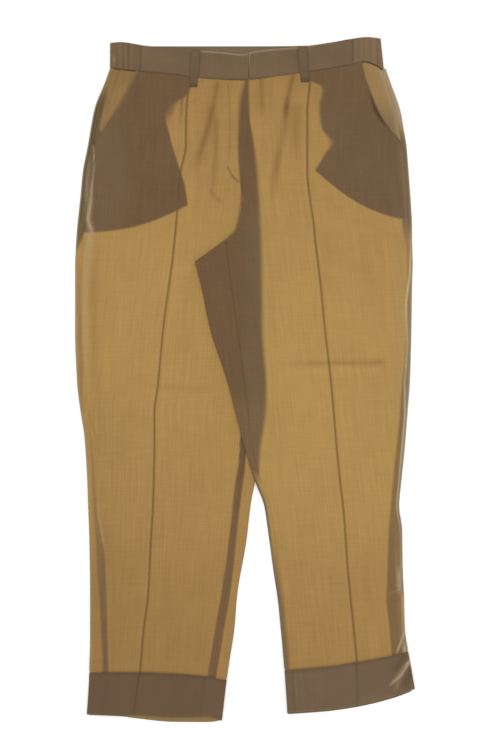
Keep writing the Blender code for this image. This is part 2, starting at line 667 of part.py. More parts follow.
def build():
    for old in list(bpy.data.objects):
        bpy.data.objects.remove(old, do_unlink=True)
    linen = material("linen", GOLD, 0.9)
    doubled = material("linen_doubled", BROWN, 0.9)
    made = [fly_shield(doubled), band_back(doubled)]
    for side in ("right", "left"):
        made += [back_panel(side, linen), front_panel(side, linen), pocket(side, doubled),
                 band_front(side, doubled), belt_loop(side, doubled), cuff(side, doubled)]
    corners = [v.co for piece in made for v in piece.data.vertices]
    middle_x = (min(c.x for c in corners) + max(c.x for c in corners)) / 2.0
    middle_y = (min(c.y for c in corners) + max(c.y for c in corners)) / 2.0
    for piece in made:
        for v in piece.data.vertices:
            v.co.x -= middle_x
            v.co.y -= middle_y


build()
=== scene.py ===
# Looks of the linen trousers: thin cloth shells on the imported solids, laid flat and seen from above.
# Tables and sizes are in millimetres and in the measure of the part's source: x from the centre front and
# y from the lowest point of the hem. Left and right are the wearer's, so the right leg is at -X.
# The shells follow the same named lines and heights as the solids, on a much finer grid. Cloth backed by
# light is darker where more layers lie on each other, so the light from behind is painted into the colours:
# backlit gold where the cloth is single, and the layers below painted on the cloth above as shade.

import math
from collections import namedtuple

import bpy
import numpy as np
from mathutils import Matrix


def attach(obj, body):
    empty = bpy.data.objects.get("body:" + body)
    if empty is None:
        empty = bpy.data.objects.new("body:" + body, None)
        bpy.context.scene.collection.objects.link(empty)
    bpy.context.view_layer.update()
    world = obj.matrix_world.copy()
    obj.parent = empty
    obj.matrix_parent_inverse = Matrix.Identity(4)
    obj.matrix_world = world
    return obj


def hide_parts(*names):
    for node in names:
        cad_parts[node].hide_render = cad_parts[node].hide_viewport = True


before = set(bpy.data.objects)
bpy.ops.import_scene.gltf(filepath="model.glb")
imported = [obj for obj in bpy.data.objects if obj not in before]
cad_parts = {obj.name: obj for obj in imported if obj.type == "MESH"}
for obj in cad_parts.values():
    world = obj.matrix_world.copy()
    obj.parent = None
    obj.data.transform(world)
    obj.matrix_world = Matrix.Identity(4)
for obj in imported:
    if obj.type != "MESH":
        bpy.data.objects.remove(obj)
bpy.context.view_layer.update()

MIDDLE_X, MIDDLE_Y = -0.13, 479.57  # the frame's origin in the measure of the tables

# Sizes of the solids
CLOTH = 1.2
DOUBLED = 1.6
BAND = 2.0
GAP = 0.3
EDGE_LOFT = 1.5
EDGE_REACH = 14.0
HIDDEN_LOFT = 0.3
COVERED_TO = 300.0
COVERED_FADE = 20.0
TUCK_HIGH = 1.3
CUFF_RAMP = 26.0
CUFF_LEVEL = 12.0
HEM_SET_BACK = 2.5
CUFF_INSET = 2.6
INSET_FROM = 3.0
INSET_RAMP = 6.0
CUFF_LOFT = 0.42
WAIST = 900.0
BAND_RAMP = 45.0
BAND_LOFT = 0.9
BESIDE = 18.0
RAMP = 12.0
LAP_RAMP = 17.0
LAP_LEVEL = 3.0
LAP_ROOM = 1.5
LAP_TOP = 731.0
LAP_RISE = 22.0
CROTCH = 676.0
TIP = 645.0
ROUND_IN = 3.2
RIGHT_TURN = 706.0
INNER_LOFT = 45.0
BRIM = 6.5
SEAM_STRIP = 9.0
SEAM_CALM = 12.0
WAIST_REACH = 75.0
HEM_REACH = 240.0
HEM_BLEND = 150.0
BACK_REACH = 25.0
WALL_REACH = 4.0

Row = namedtuple("Row", "y outer outseam crease inseam inner")
RIGHT = (
    Row(916, -189, -151, -76, 7, 4), Row(894, -197, -161, -78, 7, 4),
    Row(862, -210, -178, -82, 6, 4), Row(832, -216, -196, -83, 5, 4),
    Row(808, -220, -211, -83, 2, 4), Row(772, -227, -216, -90, -2, 4),
    Row(731, -231, -220, -94, -5, 4), Row(682, -236, -226, -98, 9, 22),
    Row(645, -238, -229, -102, 11, 23), Row(549, -238, -229, -115, 11, 24),
    Row(474, -235, -223, -122, 11, 29), Row(433, -230, -219, -127, 7, 29),
    Row(400, -225, -215, -127, 3, 23), Row(338, -221, -211, -128, -7, 14),
    Row(306, -220, -208, -129, -11, 8), Row(255, -218, -200, -132, -18, 2),
    Row(178, -217, -195, -136, -27, -11), Row(131, -217, -193, -142, -36, -15),
    Row(72, -218, -192, -147, -44, -24), Row(5, -222, -196, -153, -52, -32),
)
LEFT = (
    Row(922, 195, 163, 92, 7, 4), Row(898, 203, 169, 91, 7, 4),
    Row(855, 218, 184, 87, 6, 4), Row(832, 222, 200, 87, 5, 4),
    Row(808, 226, 219, 87, 2, 4), Row(772, 229, 223, 87, -2, 4),
    Row(731, 232, 226, 91, -5, 4), Row(690, 234, 228, 97, -13, -13),
    Row(CROTCH, 234, 228, 98, -27, -27), Row(TIP, 235, 228, 102, -23, -70),
    Row(610, 234, 228, 106, -19, -61), Row(549, 233, 227, 112, -10, -48),
    Row(479, 231, 225, 120, -1, -25), Row(437, 228, 222, 124, 4, -14),
    Row(376, 223, 217, 129, 13, 2), Row(338, 219, 213, 133, 23, 14),
    Row(303, 216, 210, 137, 35, 27), Row(270, 220, 213, 140, 41, 32),
    Row(211, 221, 214, 144, 49, 40), Row(171, 223, 217, 148, 55, 46),
    Row(131, 224, 218, 152, 59, 50), Row(76, 233, 226, 157, 64, 55),
    Row(20, 243, 235, 160, 68, 59),
)
Edge = namedtuple("Edge", "x y")
BAND_TOP_BACK = (Edge(-189, 951), Edge(-176, 953), Edge(-129, 947), Edge(10, 947), Edge(95, 948),
                 Edge(146, 957), Edge(172, 960), Edge(190, 958))
BAND_TOP_FRONT = (Edge(-189, 951), Edge(-176, 952), Edge(-146, 948), Edge(-63, 941), Edge(-34, 939),
                  Edge(-1, 936), Edge(5, 938), Edge(18, 941), Edge(49, 944), Edge(77, 946),
                  Edge(148, 956), Edge(172, 959), Edge(190, 957))
BAND_BOTTOM = (Edge(-189, 916), Edge(-151, 912), Edge(-91, 906), Edge(-77, 903), Edge(-1, 899),
               Edge(10, 900), Edge(49, 905), Edge(91, 911), Edge(146, 920), Edge(167, 925),
               Edge(181, 921), Edge(196, 911))
BACK_WAIST = (Edge(-189, 916), Edge(196, 911))
Hem = namedtuple("Hem", "x front back cuff_top")
HEMS = {
    "right": (Hem(-222, 12, 10, 70), Hem(-174, 9.5, 8, 70), Hem(-155, 11, 5.5, 70), Hem(-97, 7.6, 0.2, 68),
              Hem(-52, 8.8, 0, 64), Hem(-32, 3.5, 2.5, 60)),
    "left": (Hem(59, 14, 11, 73), Hem(114, 18, 15, 78), Hem(161, 25, 22, 85), Hem(209, 37, 34, 94),
             Hem(238, 48, 45, 102)),
}
Bag = namedtuple("Bag", "inner_x inner_y")
BAGS = {
    "right": (Bag(-74, 900), Bag(-80, 879), Bag(-103, 866), Bag(-111, 849), Bag(-106, 824),
              Bag(-95, 786), Bag(-84, 750), Bag(-80, 724)),
    "left": (Bag(94, 907), Bag(109, 889), Bag(104, 863), Bag(107, 833), Bag(122, 811),
             Bag(113, 797), Bag(98, 773)),
}
BAG_FOOT = {"right": 686.0, "left": 705.0}
BAG_SAG = {"right": 9.0, "left": 11.0}
BAG_TUCKED = 12.0
MOUTH_END = 808.0
MOUTH_FADE = 22.0
Shield = namedtuple("Shield", "y west east")
SHIELD = (Shield(893, -4, 6), Shield(864, -8, 6), Shield(808, -10, 12), Shield(769, -8, 18),
          Shield(758, -7, 19))
LOOPS = {"right": (-69.0, -72.0), "left": (80.0, 84.0)}
LOOP_WIDE = 12.5
LOOP_PAST = 13.0
LAP_STEP = 0.7
STEP_RAMP = 26.0
BAG_FADE = 0.45
BAND_SEAM = {"right": -146.0, "left": 150.0}
BAND_END = {"right": (-189.0, -189.0), "left": (194.5, 190.0)}
BAND_LAP = 5.3
ROWS = {"right": (905.0, 0.0), "left": (911.0, 20.0)}  # heights of the first and last row of a leg's grid
OUTWARD = {"right": -1.0, "left": 1.0}

# The soft folds in the cloth: ends, half width and height of each, with how much painted shade it gets, a
# painted highlight where that is below zero. Each one starts sharply and fades slowly towards its second
# end.
Fold = namedtuple("Fold", "x0 y0 x1 y1 half high dark")
FOLDS = (
    Fold(-68, 900, -84, 785, 8, 1.0, -0.06), Fold(-35, 909, -72, 758, 4.5, -0.6, 0.40),
    Fold(-47, 872, -66, 742, 9, -0.4, 0.16), Fold(-27, 900, -34, 760, 5, 0.9, -0.05),
    Fold(-41, 855, -45, 716, 4.5, -0.4, 0.28), Fold(-52, 747, -27, 722, 3.5, -0.5, 0.20),
    Fold(-23, 905, -22, 765, 1.5, -0.2, 0.22), Fold(-14, 795, -12, 725, 5, -0.3, 0.08),
    Fold(-25, 780, -15, 758, 1.4, -0.1, 0.40), Fold(-5, 754, -21, 767, 1.6, -0.1, 0.42),
    Fold(-96, 700, -104, 560, 10, 0.3, -0.05), Fold(-70, 640, -86, 500, 12, -0.3, 0.05),
    Fold(110, 700, 122, 560, 12, -0.3, 0.05), Fold(60, 560, 84, 430, 12, 0.3, -0.04),
    Fold(170, 690, 178, 560, 12, 0.3, 0.06), Fold(-180, 640, -176, 500, 9, 0.3, -0.05),
    Fold(-66, 800, -84, 690, 6, 0.6, -0.06), Fold(-58, 790, -62, 690, 4, 0.3, -0.05),
    Fold(68, 912, 54, 835, 3.8, -0.8, 0.50), Fold(60, 878, 36, 722, 5.5, -0.6, 0.30),
    Fold(48, 902, 30, 790, 7, 0.9, -0.04), Fold(75, 872, 68, 775, 7.0, -0.4, 0.30),
    Fold(80, 905, 72, 830, 5, 0.5, -0.03), Fold(22, 908, 25, 845, 4, -0.4, 0.34),
    Fold(36, 905, 38, 840, 4, -0.2, 0.10), Fold(33, 800, 30, 700, 4, 0.3, -0.05),
    Fold(50, 808, 40, 720, 4, -0.3, 0.12), Fold(-58, 765, -68, 700, 4, -0.2, 0.08),
    Fold(-34, 467, -190, 471, 5, -0.4, 0.08), Fold(205, 507, 40, 498, 4.0, -0.6, 0.26),
    Fold(200, 494, 30, 486, 6, 0.8, -0.08), Fold(-60, 690, -120, 640, 14, 0.8, 0.02),
    Fold(60, 660, 150, 600, 15, 0.8, 0.02), Fold(-180, 330, -90, 300, 16, 0.6, 0.0),
    Fold(80, 330, 190, 290, 15, 0.7, 0.0), Fold(222, 189, 198, 178, 1.9, 0.9, -0.50),
    Fold(224, 176, 205, 168, 4.0, -0.5, 0.18), Fold(224, 126, 215, 99, 1.5, 0.9, -0.60),
    Fold(229, 118, 219, 92, 2.5, -0.5, 0.16), Fold(-80, 200, -180, 160, 15, 0.6, 0.0),
    Fold(-226, 452, -208, 376, 2.2, 0.6, -0.26), Fold(-224, 436, -202, 368, 5.0, -0.4, 0.16),
    Fold(-213, 320, -200, 252, 4.5, -0.3, 0.12), Fold(-205, 300, -180, 200, 9, -0.2, 0.07),
)
# Creases of the cuffs, read the same way.
CUFF_FOLDS = (
    Fold(232, 90, 198, 46, 1.5, 1.2, -0.85), Fold(226, 96, 204, 66, 4.5, -0.7, 0.20),
    Fold(234, 78, 220, 44, 6.0, -0.6, 0.20), Fold(221, 70, 206, 40, 3.0, 0.8, -0.40),
    Fold(212, 40, 150, 28, 5.0, 0.4, -0.10), Fold(-70, 60, -90, 14, 7.0, 0.4, -0.05),
    Fold(70, 72, 74, 18, 2.0, 0.3, -0.16), Fold(78, 72, 82, 18, 2.4, 0.3, -0.12),
    Fold(96, 74, 110, 20, 9.0, 0.3, -0.07), Fold(-190, 66, -200, 20, 9.0, 0.3, 0.04),
)

# Colours as they look in even white light, and that light's level
LIGHT = 1.24


def srgb(red, green, blue):
    """A colour of 0 to 255 as the linear reflectance that looks so in the studio's light."""
    c = np.array([red, green, blue]) / 255.0
    return np.where(c <= 0.04045, c / 12.92, ((c + 0.055) / 1.055) ** 2.4) / LIGHT


# Painted backlight: the gold of a single layer of cloth with the light shining through it, with a dimmer and
# a brighter copy
BACKLIGHT_GOLD = srgb(167, 129, 71)
BACKLIGHT_GOLD_DIM = srgb(157, 121, 69)
BACKLIGHT_GOLD_BRIGHT = srgb(176, 140, 79)
# Painted backlight: how far the single cloth goes from the dimmer to the brighter backlit gold, at a few
# heights of each leg
LIT = {"right": ((110, 0.0), (200, 0.16), (290, 0.5), (420, 0.71), (560, 0.84), (660, 0.78), (740, 0.58),
                 (830, 0.38), (880, 0.15), (920, 0.0)),
       "left": ((20, 0.24), (110, 0.30), (200, 0.46), (290, 0.84), (420, 1.0), (560, 0.96), (740, 0.68),
                (830, 0.48), (880, 0.15), (920, 0.0))}
# Painted shade in the folds and along the creases
FOLD_SHADE = srgb(104, 72, 36)
# A warmer painted backlight beside the right leg's inner edge
BACKLIGHT_ORANGE = srgb(163, 125, 71)
# Painted shade where layers of cloth lie on each other and block the light from behind, also used for
# painted shadows
SHADE_BROWN = srgb(109, 83, 56)
SHADE_OLIVE = srgb(113, 92, 65)
BAND_BROWN = srgb(114, 92, 68)
CUFF_BROWN = {"right": srgb(104, 82, 59), "left": srgb(112, 91, 68)}
LOOP_BROWN = srgb(105, 85, 62)
# Painted shade of the layered brim beside the pockets
BRIM_SHADE = srgb(106, 87, 59)
BRIM_EDGE = srgb(130, 118, 88)
RIM_LIGHT = srgb(176, 166, 138)
# Painted highlights, paler and brighter
PALE_HIGHLIGHT = srgb(180, 160, 130)
BRIGHT_HIGHLIGHT = srgb(212, 194, 163)
# Painted backlight on the under part of the cuffs, where it shows below the hem
HEM_BACKLIGHT_GOLD = srgb(149, 123, 78)
# Greyer painted shade along the left leg's inner and outer strips
GREY_SHADE = srgb(110, 98, 80)
EDGE_GREY_SHADE = srgb(136, 121, 96)
HAZE = srgb(156, 132, 100)
INSIDE = srgb(120, 101, 76)
# Painted shadow in the pockets' mouths, along the fly and beside the right leg's outer edge, and darker
# seams on the waistband
SHADOW_DARK = srgb(70, 52, 35)
THREAD = srgb(112, 82, 46)


def ease(t):
    t = np.clip(t, 0.0, 1.0)
    return t * t * (3.0 - 2.0 * t)


def mix(a, b, t):
    return a + (b - a) * t


def bell(distance, width):
    """1 at no distance, and less and less to both sides."""
    return np.exp(-((distance / width) ** 2))


def curve(points, at):
    """Reads a smooth curve through (key, value) points in rising order of key, with no overshoot."""
    slopes = [(b[1] - a[1]) / (b[0] - a[0]) for a, b in zip(points, points[1:])]

    def tangent(i, side):
        if i in (0, len(points) - 1) or points[i][0] in (CROTCH, TIP):
            return slopes[side]
        a, b = slopes[i - 1], slopes[i]
        return 0.0 if a * b <= 0.0 else 2.0 * a * b / (a + b)

    i = next(k for k in range(len(slopes)) if at <= points[k + 1][0])
    span = points[i + 1][0] - points[i][0]
    t = (at - points[i][0]) / span
    m0, m1 = tangent(i, i) * span, tangent(i + 1, i) * span
    return ((2 * t**3 - 3 * t**2 + 1) * points[i][1] + (t**3 - 2 * t**2 + t) * m0
            + (3 * t**2 - 2 * t**3) * points[i + 1][1] + (t**3 - t**2) * m1)


def line(points):
    """A smooth curve through (key, value) points, as a function of arrays."""
    points = sorted(points)
    keys = np.arange(points[0][0], points[-1][0] + 0.25, 0.5)
    values = [curve(points, min(k, points[-1][0])) for k in keys]
    return lambda at: np.interp(at, keys, values)


LEG = {side: {name: line([(row.y, getattr(row, name)) for row in table]) for name in Row._fields[1:]}
       for side, table in (("right", RIGHT), ("left", LEFT))}
HEM = {side: {name: line([(h.x, getattr(h, name)) for h in table]) for name in Hem._fields[1:]}
       for side, table in HEMS.items()}
band_top_back, band_top_front, band_bottom, back_waist = (
    line([(e.x, e.y) for e in edges]) for edges in (BAND_TOP_BACK, BAND_TOP_FRONT, BAND_BOTTOM, BACK_WAIST))
bag_inner = {side: line([(b.inner_y, b.inner_x) for b in bag]) for side, bag in BAGS.items()}
shield_west = line([(s.y, s.west) for s in SHIELD])
shield_east = line([(s.y, s.east) for s in SHIELD])


# Heights of the middle of each wall, as in the part's source

def bag_foot_y(side, x):
    corner = BAGS[side][-1]
    outer = LEG[side]["outseam"](BAG_FOOT[side]) - OUTWARD[side] * BAG_TUCKED
    t = np.clip((x - corner.inner_x) / (outer - corner.inner_x), 0.0, 1.0)
    return mix(corner.inner_y, BAG_FOOT[side], t) - BAG_SAG[side] * np.sin(math.pi * t)


def bag_outer_x(side, y):
    beside = LEG[side]["outer"](y) - OUTWARD[side] * (BRIM + WALL_REACH * GAP)
    tucked = LEG[side]["outseam"](y) - OUTWARD[side] * BAG_TUCKED
    return mix(tucked, beside, ease((y - MOUTH_END) / MOUTH_FADE))


def cuff_rise(side, x, y):
    return (DOUBLED + GAP) * ease((HEM[side]["cuff_top"](x) + CUFF_LEVEL + CUFF_RAMP - y) / CUFF_RAMP)


def lap_share(x, y):
    beside = 1.0 - (x - LAP_LEVEL - LEG["right"]["inner"](np.minimum(y, LAP_TOP))) / LAP_RAMP
    return ease(beside) * ease((LAP_TOP + LAP_RISE - y) / LAP_RISE)


def low(side, x, y):
    lift = 2.0 * (CLOTH + GAP) + EDGE_LOFT * HIDDEN_LOFT + 2.0 * GAP
    over = lift * lap_share(x, y) if side == "left" else 0.0
    band = (BAND - CLOTH) / 2.0 * ease((y - WAIST + BAND_RAMP) / BAND_RAMP)
    return CLOTH / 2.0 + cuff_rise(side, x, y) + over + band


def edge_room(side, x, y):
    out = OUTWARD[side]
    outer = ease(1.0 - (LEG[side]["outer"](y) - x) * out / EDGE_REACH)
    inner = ease(1.0 - (x - LEG[side]["inner"](y)) * out / EDGE_REACH) * (y < TIP + INNER_LOFT)
    if side == "right":
        inner = inner * mix(1.0, HIDDEN_LOFT, ease((y - COVERED_TO) / COVERED_FADE))
    uneven = 1.0 + 0.22 * np.sin(y / 47.0 + x / 90.0) + 0.13 * np.sin(y / 19.0 + 1.3)
    return EDGE_LOFT * np.maximum(outer, inner) * uneven


def upper(side, x, y):
    band = (BAND - CLOTH / 2.0) * ease((y - WAIST + BAND_RAMP) / BAND_RAMP)
    lap = lap_share(x, y) if side == "left" else 0.0
    return low(side, x, y) + CLOTH + GAP + LAP_ROOM * lap * (1.0 - lap) + band


def turned(side, x, y):
    return upper(side, x, y) + edge_room(side, x, y)


def pocket_rise(side, x, y):
    out = OUTWARD[side]
    inner = ((x - bag_inner[side](np.minimum(y, WAIST))) * out + BESIDE + RAMP) / RAMP
    outer = ((bag_outer_x(side, y) - x) * out + SEAM_STRIP + 5.0) / (SEAM_STRIP - 1.0)
    foot = (y - bag_foot_y(side, x) + BESIDE + RAMP) / RAMP
    return (DOUBLED + GAP) * ease(inner) * ease(outer) * ease(foot)


def shield_rise(x, y):
    beside = (np.minimum(x - shield_west(y), shield_east(y) - x) + BESIDE + RAMP) / RAMP
    below = (y - SHIELD[-1].y + BESIDE + RAMP) / RAMP
    return (CLOTH + GAP) * ease(beside) * ease(below)


def fold_field(folds, x, y, value):
    """Adds up one value of the folds, their height or their painted shading, each a soft ridge that fades at
    both ends.
    """
    total = np.zeros(np.broadcast(x, y).shape)
    for f in folds:
        dx, dy = f.x1 - f.x0, f.y1 - f.y0
        length = math.hypot(dx, dy)
        along = ((x - f.x0) * dx + (y - f.y0) * dy) / length
        bend = 0.012 * length * np.sin(along * math.pi / length * 1.7 + f.x0)
        across = ((y - f.y0) * dx - (x - f.x0) * dy) / length + bend
        ends = ease(along / (0.12 * length)) * ease((length - along) / (0.4 * length))
        total += getattr(f, value) * ends * bell(across, f.half)
    return total


def wrinkles(x, y):
    """Long shallow waves that keep the laid cloth from being quite level."""
    slow = np.sin(x / 23.0 + y / 71.0) * np.sin(y / 53.0 - x / 97.0 + 0.8)
    quick = np.sin(x / 7.5 + 1.7 * np.sin(y / 61.0)) * np.sin(y / 90.0 + x / 40.0)
    return 0.22 * slow + 0.10 * quick


def front(side, x, y):
    beside = np.minimum(abs(x - LEG[side]["outseam"](y)), abs(x - LEG[side]["inseam"](y)))
    relief = (fold_field(FOLDS, x, y, "high") + wrinkles(x, y)) * ease(beside / SEAM_CALM)
    return turned(side, x, y) + pocket_rise(side, x, y) + shield_rise(x, y) + relief


def band_front_z(side, x, share):
    bottom = band_bottom(x)
    bag = pocket_rise(side, x, bottom - BRIM) * mix(1.0, BAG_FADE, share)
    lap = LAP_STEP * ease(1.0 + (x - BAND_LAP) / STEP_RAMP) if side == "right" else 0.0
    return BAND / 2.0 + BAND + GAP + bag + lap


def settle(side, x, y, face):
    first, final = ROWS[side]
    waist = band_bottom(x) if face == "front" else back_waist(x)
    gap = GAP * (1.8 if face == "front" else 3.0)
    top = (waist - gap - first) * ease((y - first + WAIST_REACH) / WAIST_REACH)
    hem = HEM[side]["front"](x)
    foot = (hem + HEM_SET_BACK - final) * ease((final + HEM_REACH - y) / HEM_BLEND)
    last = (HEM[side][face](x) - hem) * ease((final + BACK_REACH - y) / BACK_REACH)
    return y + top + foot + last


def inset(side, x, y):
    return CUFF_INSET * ease((HEM[side]["cuff_top"](x) + INSET_FROM - y) / INSET_RAMP)


def seam_point(side, name, y, shift):
    at = settle(side, LEG[side][name](y), y, "front")
    return LEG[side][name](at) + shift, at


# Painted shade of layers of cloth seen through each other against the light behind. A line is given by
# (y, x) points from below, or by the name of one of the leg's lines and a shift.

Stripe = namedtuple("Stripe", "west east soft_west soft_east shares")
THIGH_WEST = line([(740, -5), (769, -8), (808, -10), (871, -7), (899, 0), (905, 1)])
THIGH_EAST = line([(337, 22.5), (351, 20), (366, 20.4), (387, 21.8), (408, 25.4), (430, 29), (446, 30.2),
                   (474, 30), (549, 24.4), (645, 23.6), (682, 22.5), (731, 20), (764, 18), (814, 12),
                   (852, 6), (899, 5), (905, 5)])
STRIPES = {
    "right": (
        Stripe(((10, -61), (66, -52.4), (131, -41.6), (184, -32.4), (227, -26.2), (280, -19.8),
                (333, -13.8), (367, -8.6), (402, -6.4)),
               ((10, -49), (66, -40.0), (131, -29.4), (184, -20.3), (227, -15.0), (280, -9.6), (324, -4.2),
                (358, 0.1), (386, 1.9), (402, 2.4)), 2.0, 3.0,
               ((0, 0.9), (250, 0.85), (380, 1.0), (409, 1.0), (413, 0.0))),
        Stripe(((20, -199), (87, -199.6), (138, -201.8), (205, -206), (255, -209), (299, -212), (341, -214),
                (420, -220)),
               ((20, -192), (77, -191.3), (103, -192.2), (154, -193.5), (200, -195), (231, -196.5),
                (265, -201.7), (299, -208), (341, -211), (420, -217)), 4.0, 2.2,
               ((0, 1.0), (130, 0.95), (200, 0.75), (255, 0.6), (300, 0.45), (341, 0.36), (440, 0.0))),
        Stripe(("outer", -9.0), ("outer", 8.0), 2.0, 9.0,
               ((330, 0.0), (400, 0.10), (500, 0.20), (560, 0.12), (650, 0.08), (690, 0.0))),
    ),
    "left": (
        Stripe(((60, 207), (100, 205), (131, 202.6), (150, 200.4), (172, 198), (200, 199.2), (255, 200.9),
                (306, 204.4), (352, 208.6), (418, 215.6), (484, 221), (500, 223.5), (600, 227.6), (660, 226),
                (690, 221), (712, 219.5)), ("outer", 9.0), 4.0, 2.0,
               ((0, 0.85), (180, 0.78), (250, 0.76), (420, 0.75), (480, 0.7), (560, 0.5), (650, 0.30),
                (676, 0.5), (700, 0.85), (720, 0.9), (800, 0.95), (815, 0.0))),
        Stripe(("inner", -9.0), ("inner", 7.0), 2.0, 5.0, ((0, 0.8), (120, 0.75), (200, 0.6), (262, 0.0))),
        Stripe(("inner", -9.0), ("inner", 3.0), 2.0, 2.5,
               ((230, 0.0), (262, 0.45), (330, 0.85), (352, 0.9), (380, 0.0))),
    ),
}

# Fine lines of light or shade: the line, its half width, the share of colour at some heights and the colour
Tone = namedtuple("Tone", "middle half shares colour")
TONES = {
    "right": (
        Tone(("outseam", 0.6), 1.7, ((848, 0.0), (858, 0.7), (895, 0.85), (920, 0.85)), srgb(134, 107, 69)),
        Tone(((744, -215.0), (789, -211.6), (806, -212.5)), 0.9,
             ((735, 0.0), (752, 0.5), (800, 0.65), (812, 0.0)), PALE_HIGHLIGHT),
        Tone(((688, -214), (694, -217), (705, -220), (720, -217.4), (730, -216), (744, -215.0),
              (763, -214)), 1.8,
             ((682, 0.0), (690, 0.34), (705, 0.42), (728, 0.42), (744, 0.34), (765, 0.0)), BRIGHT_HIGHLIGHT),
        Tone(((690, -216), (705, -218.5), (720, -217), (735, -215.5)), 3.6,
             ((684, 0.0), (694, 0.28), (712, 0.3), (728, 0.22), (745, 0.0)), PALE_HIGHLIGHT),
        Tone(((494, -222), (526, -223.6), (575, -224.3), (607, -223.6), (639, -220.4), (671, -218),
              (690, -216)), 5.0,
             ((470, 0.06), (560, 0.22), (640, 0.28), (680, 0.34), (690, 0.28), (702, 0.0)), PALE_HIGHLIGHT),
        Tone(((430, -205), (490, -209), (549, -212), (620, -211), (680, -207)), 6.0,
             ((410, 0.0), (480, 0.16), (560, 0.22), (640, 0.20), (684, 0.06), (690, 0.0)), SHADE_BROWN),
        Tone(((480, -230), (540, -231), (600, -233)), 3.2,
             ((420, 0.05), (480, 0.34), (550, 0.34), (610, 0.2), (650, 0.0)), SHADE_BROWN),
        Tone(((256, -199), (283, -204), (310, -206)), 1.5,
             ((244, 0.0), (256, 0.34), (292, 0.36), (312, 0.0)), PALE_HIGHLIGHT),
        Tone(((831, -206), (883, -187.6)), 1.0, ((826, 0.0), (838, 0.45), (876, 0.45), (892, 0.0)), PALE_HIGHLIGHT),
        Tone(("outer", 0.4), 1.5, ((0, 0.30), (400, 0.35), (700, 0.5), (900, 0.55)), RIM_LIGHT),
        Tone(((690, -219.5), (745, -221), (790, -217.5)), 3.4,
             ((684, 0.0), (705, 0.2), (745, 0.3), (780, 0.2), (800, 0.0)), PALE_HIGHLIGHT),
        Tone(("inner", -0.5), 1.1, ((0, 0.30), (330, 0.30), (345, 0.0)), BRIM_EDGE),
        Tone(((842, -111), (852, -108), (864, -103), (872, -96), (878, -91)), 6.5,
             ((832, 0.0), (844, 0.40), (856, 0.80), (866, 0.85), (876, 0.8), (884, 0.0)), SHADE_BROWN),
        Tone(((840, -90.0), (878, -88.0)), 2.4,
             ((832, 0.0), (850, 0.4), (864, 0.65), (878, 0.7), (884, 0.0)), SHADE_BROWN),
    ),
    "left": (
        Tone(((203, 218), (240, 218.5), (272, 217), (303, 212.5), (333, 215), (392, 220.3), (435, 223.6),
              (474, 223.8), (500, 225.8), (537, 227.5), (583, 225.9), (605, 228), (628, 230.5), (660, 232)),
             1.2,
             ((188, 0.0), (215, 0.35), (255, 0.15), (300, 0.40), (392, 0.5), (470, 0.6), (520, 0.45),
              (570, 0.45), (600, 0.75), (632, 0.65), (662, 0.35), (690, 0.0)), BRIGHT_HIGHLIGHT),
        Tone(((126, 222), (160, 221.5), (192, 219)), 2.6,
             ((112, 0.0), (126, 0.25), (150, 0.55), (172, 0.6), (184, 0.2), (188, 0.0)),
             srgb(200, 165, 105)),
        Tone(((60, 229), (90, 225), (116, 222), (184, 217), (214, 215)), 2.4,
             ((62, 0.0), (80, 0.5), (104, 0.6), (116, 0.1), (178, 0.0), (190, 0.55), (206, 0.5),
              (222, 0.0)), BRIGHT_HIGHLIGHT),
        Tone(((99, 213), (109.8, 217), (126.6, 223)), 1.3, ((95, 0.0), (103, 0.5), (124, 0.6), (130, 0.0)),
             BRIGHT_HIGHLIGHT),
        Tone(((180, 214), (262, 213)), 3.4, ((178, 0.0), (196, 0.35), (240, 0.25), (275, 0.0)), HAZE),
        Tone(("outseam", 2.0), 6.0, ((76, 0.0), (96, 0.25), (150, 0.25), (300, 0.16), (420, 0.0)), HAZE),
        Tone(("inner", 1.5), 2.6, ((18, 0.5), (120, 0.55), (240, 0.55), (300, 0.6), (334, 0.6), (348, 0.0)),
             GREY_SHADE),
        Tone(("outseam", -1.0), 0.8, ((700, 0.0), (720, 0.18), (795, 0.18), (805, 0.0)), PALE_HIGHLIGHT),
        Tone(("outer", -0.3), 1.6,
             ((0, 0.25), (380, 0.45), (420, 0.65), (520, 0.45), (680, 0.5), (800, 0.35), (850, 0.6),
              (915, 0.5)), RIM_LIGHT),
        Tone(("outer", -6.0), 5.0, ((640, 0.0), (670, 0.12), (790, 0.14), (830, 0.0)), PALE_HIGHLIGHT),
        Tone(("outer", -17.0), 9.0, ((380, 0.0), (450, 0.2), (620, 0.16), (700, 0.08), (730, 0.0)), HAZE),
        Tone(("inner", 0.5), 1.0, ((0, 0.3), (300, 0.35), (340, 0.0)), BRIM_EDGE),
        # Painted shadow in the pocket's mouth and along the fly
        Tone(("outseam", -1.2), 2.2,
             ((816, 0.0), (830, 0.2), (843, 0.75), (860, 0.7), (878, 0.2), (890, 0.0)), SHADOW_DARK),
        Tone(((849, 3.2), (900, 3.4)), 2.3, ((838, 0.0), (856, 0.42), (902, 0.5)), SHADOW_DARK),
    ),
}


def shares_at(shares, y):
    return np.interp(y, [s[0] for s in shares], [s[1] for s in shares])


def line_x(side, given, y):
    """x at heights y on one of the lines that the tables give."""
    if isinstance(given[0], str):
        name, shift = given
        return LEG[side][name](y) + shift
    return line(given)(y)


def soft(distance, width):
    """0 outside a boundary and 1 inside it, across a soft edge of that width."""
    return ease(distance / width + 0.5)


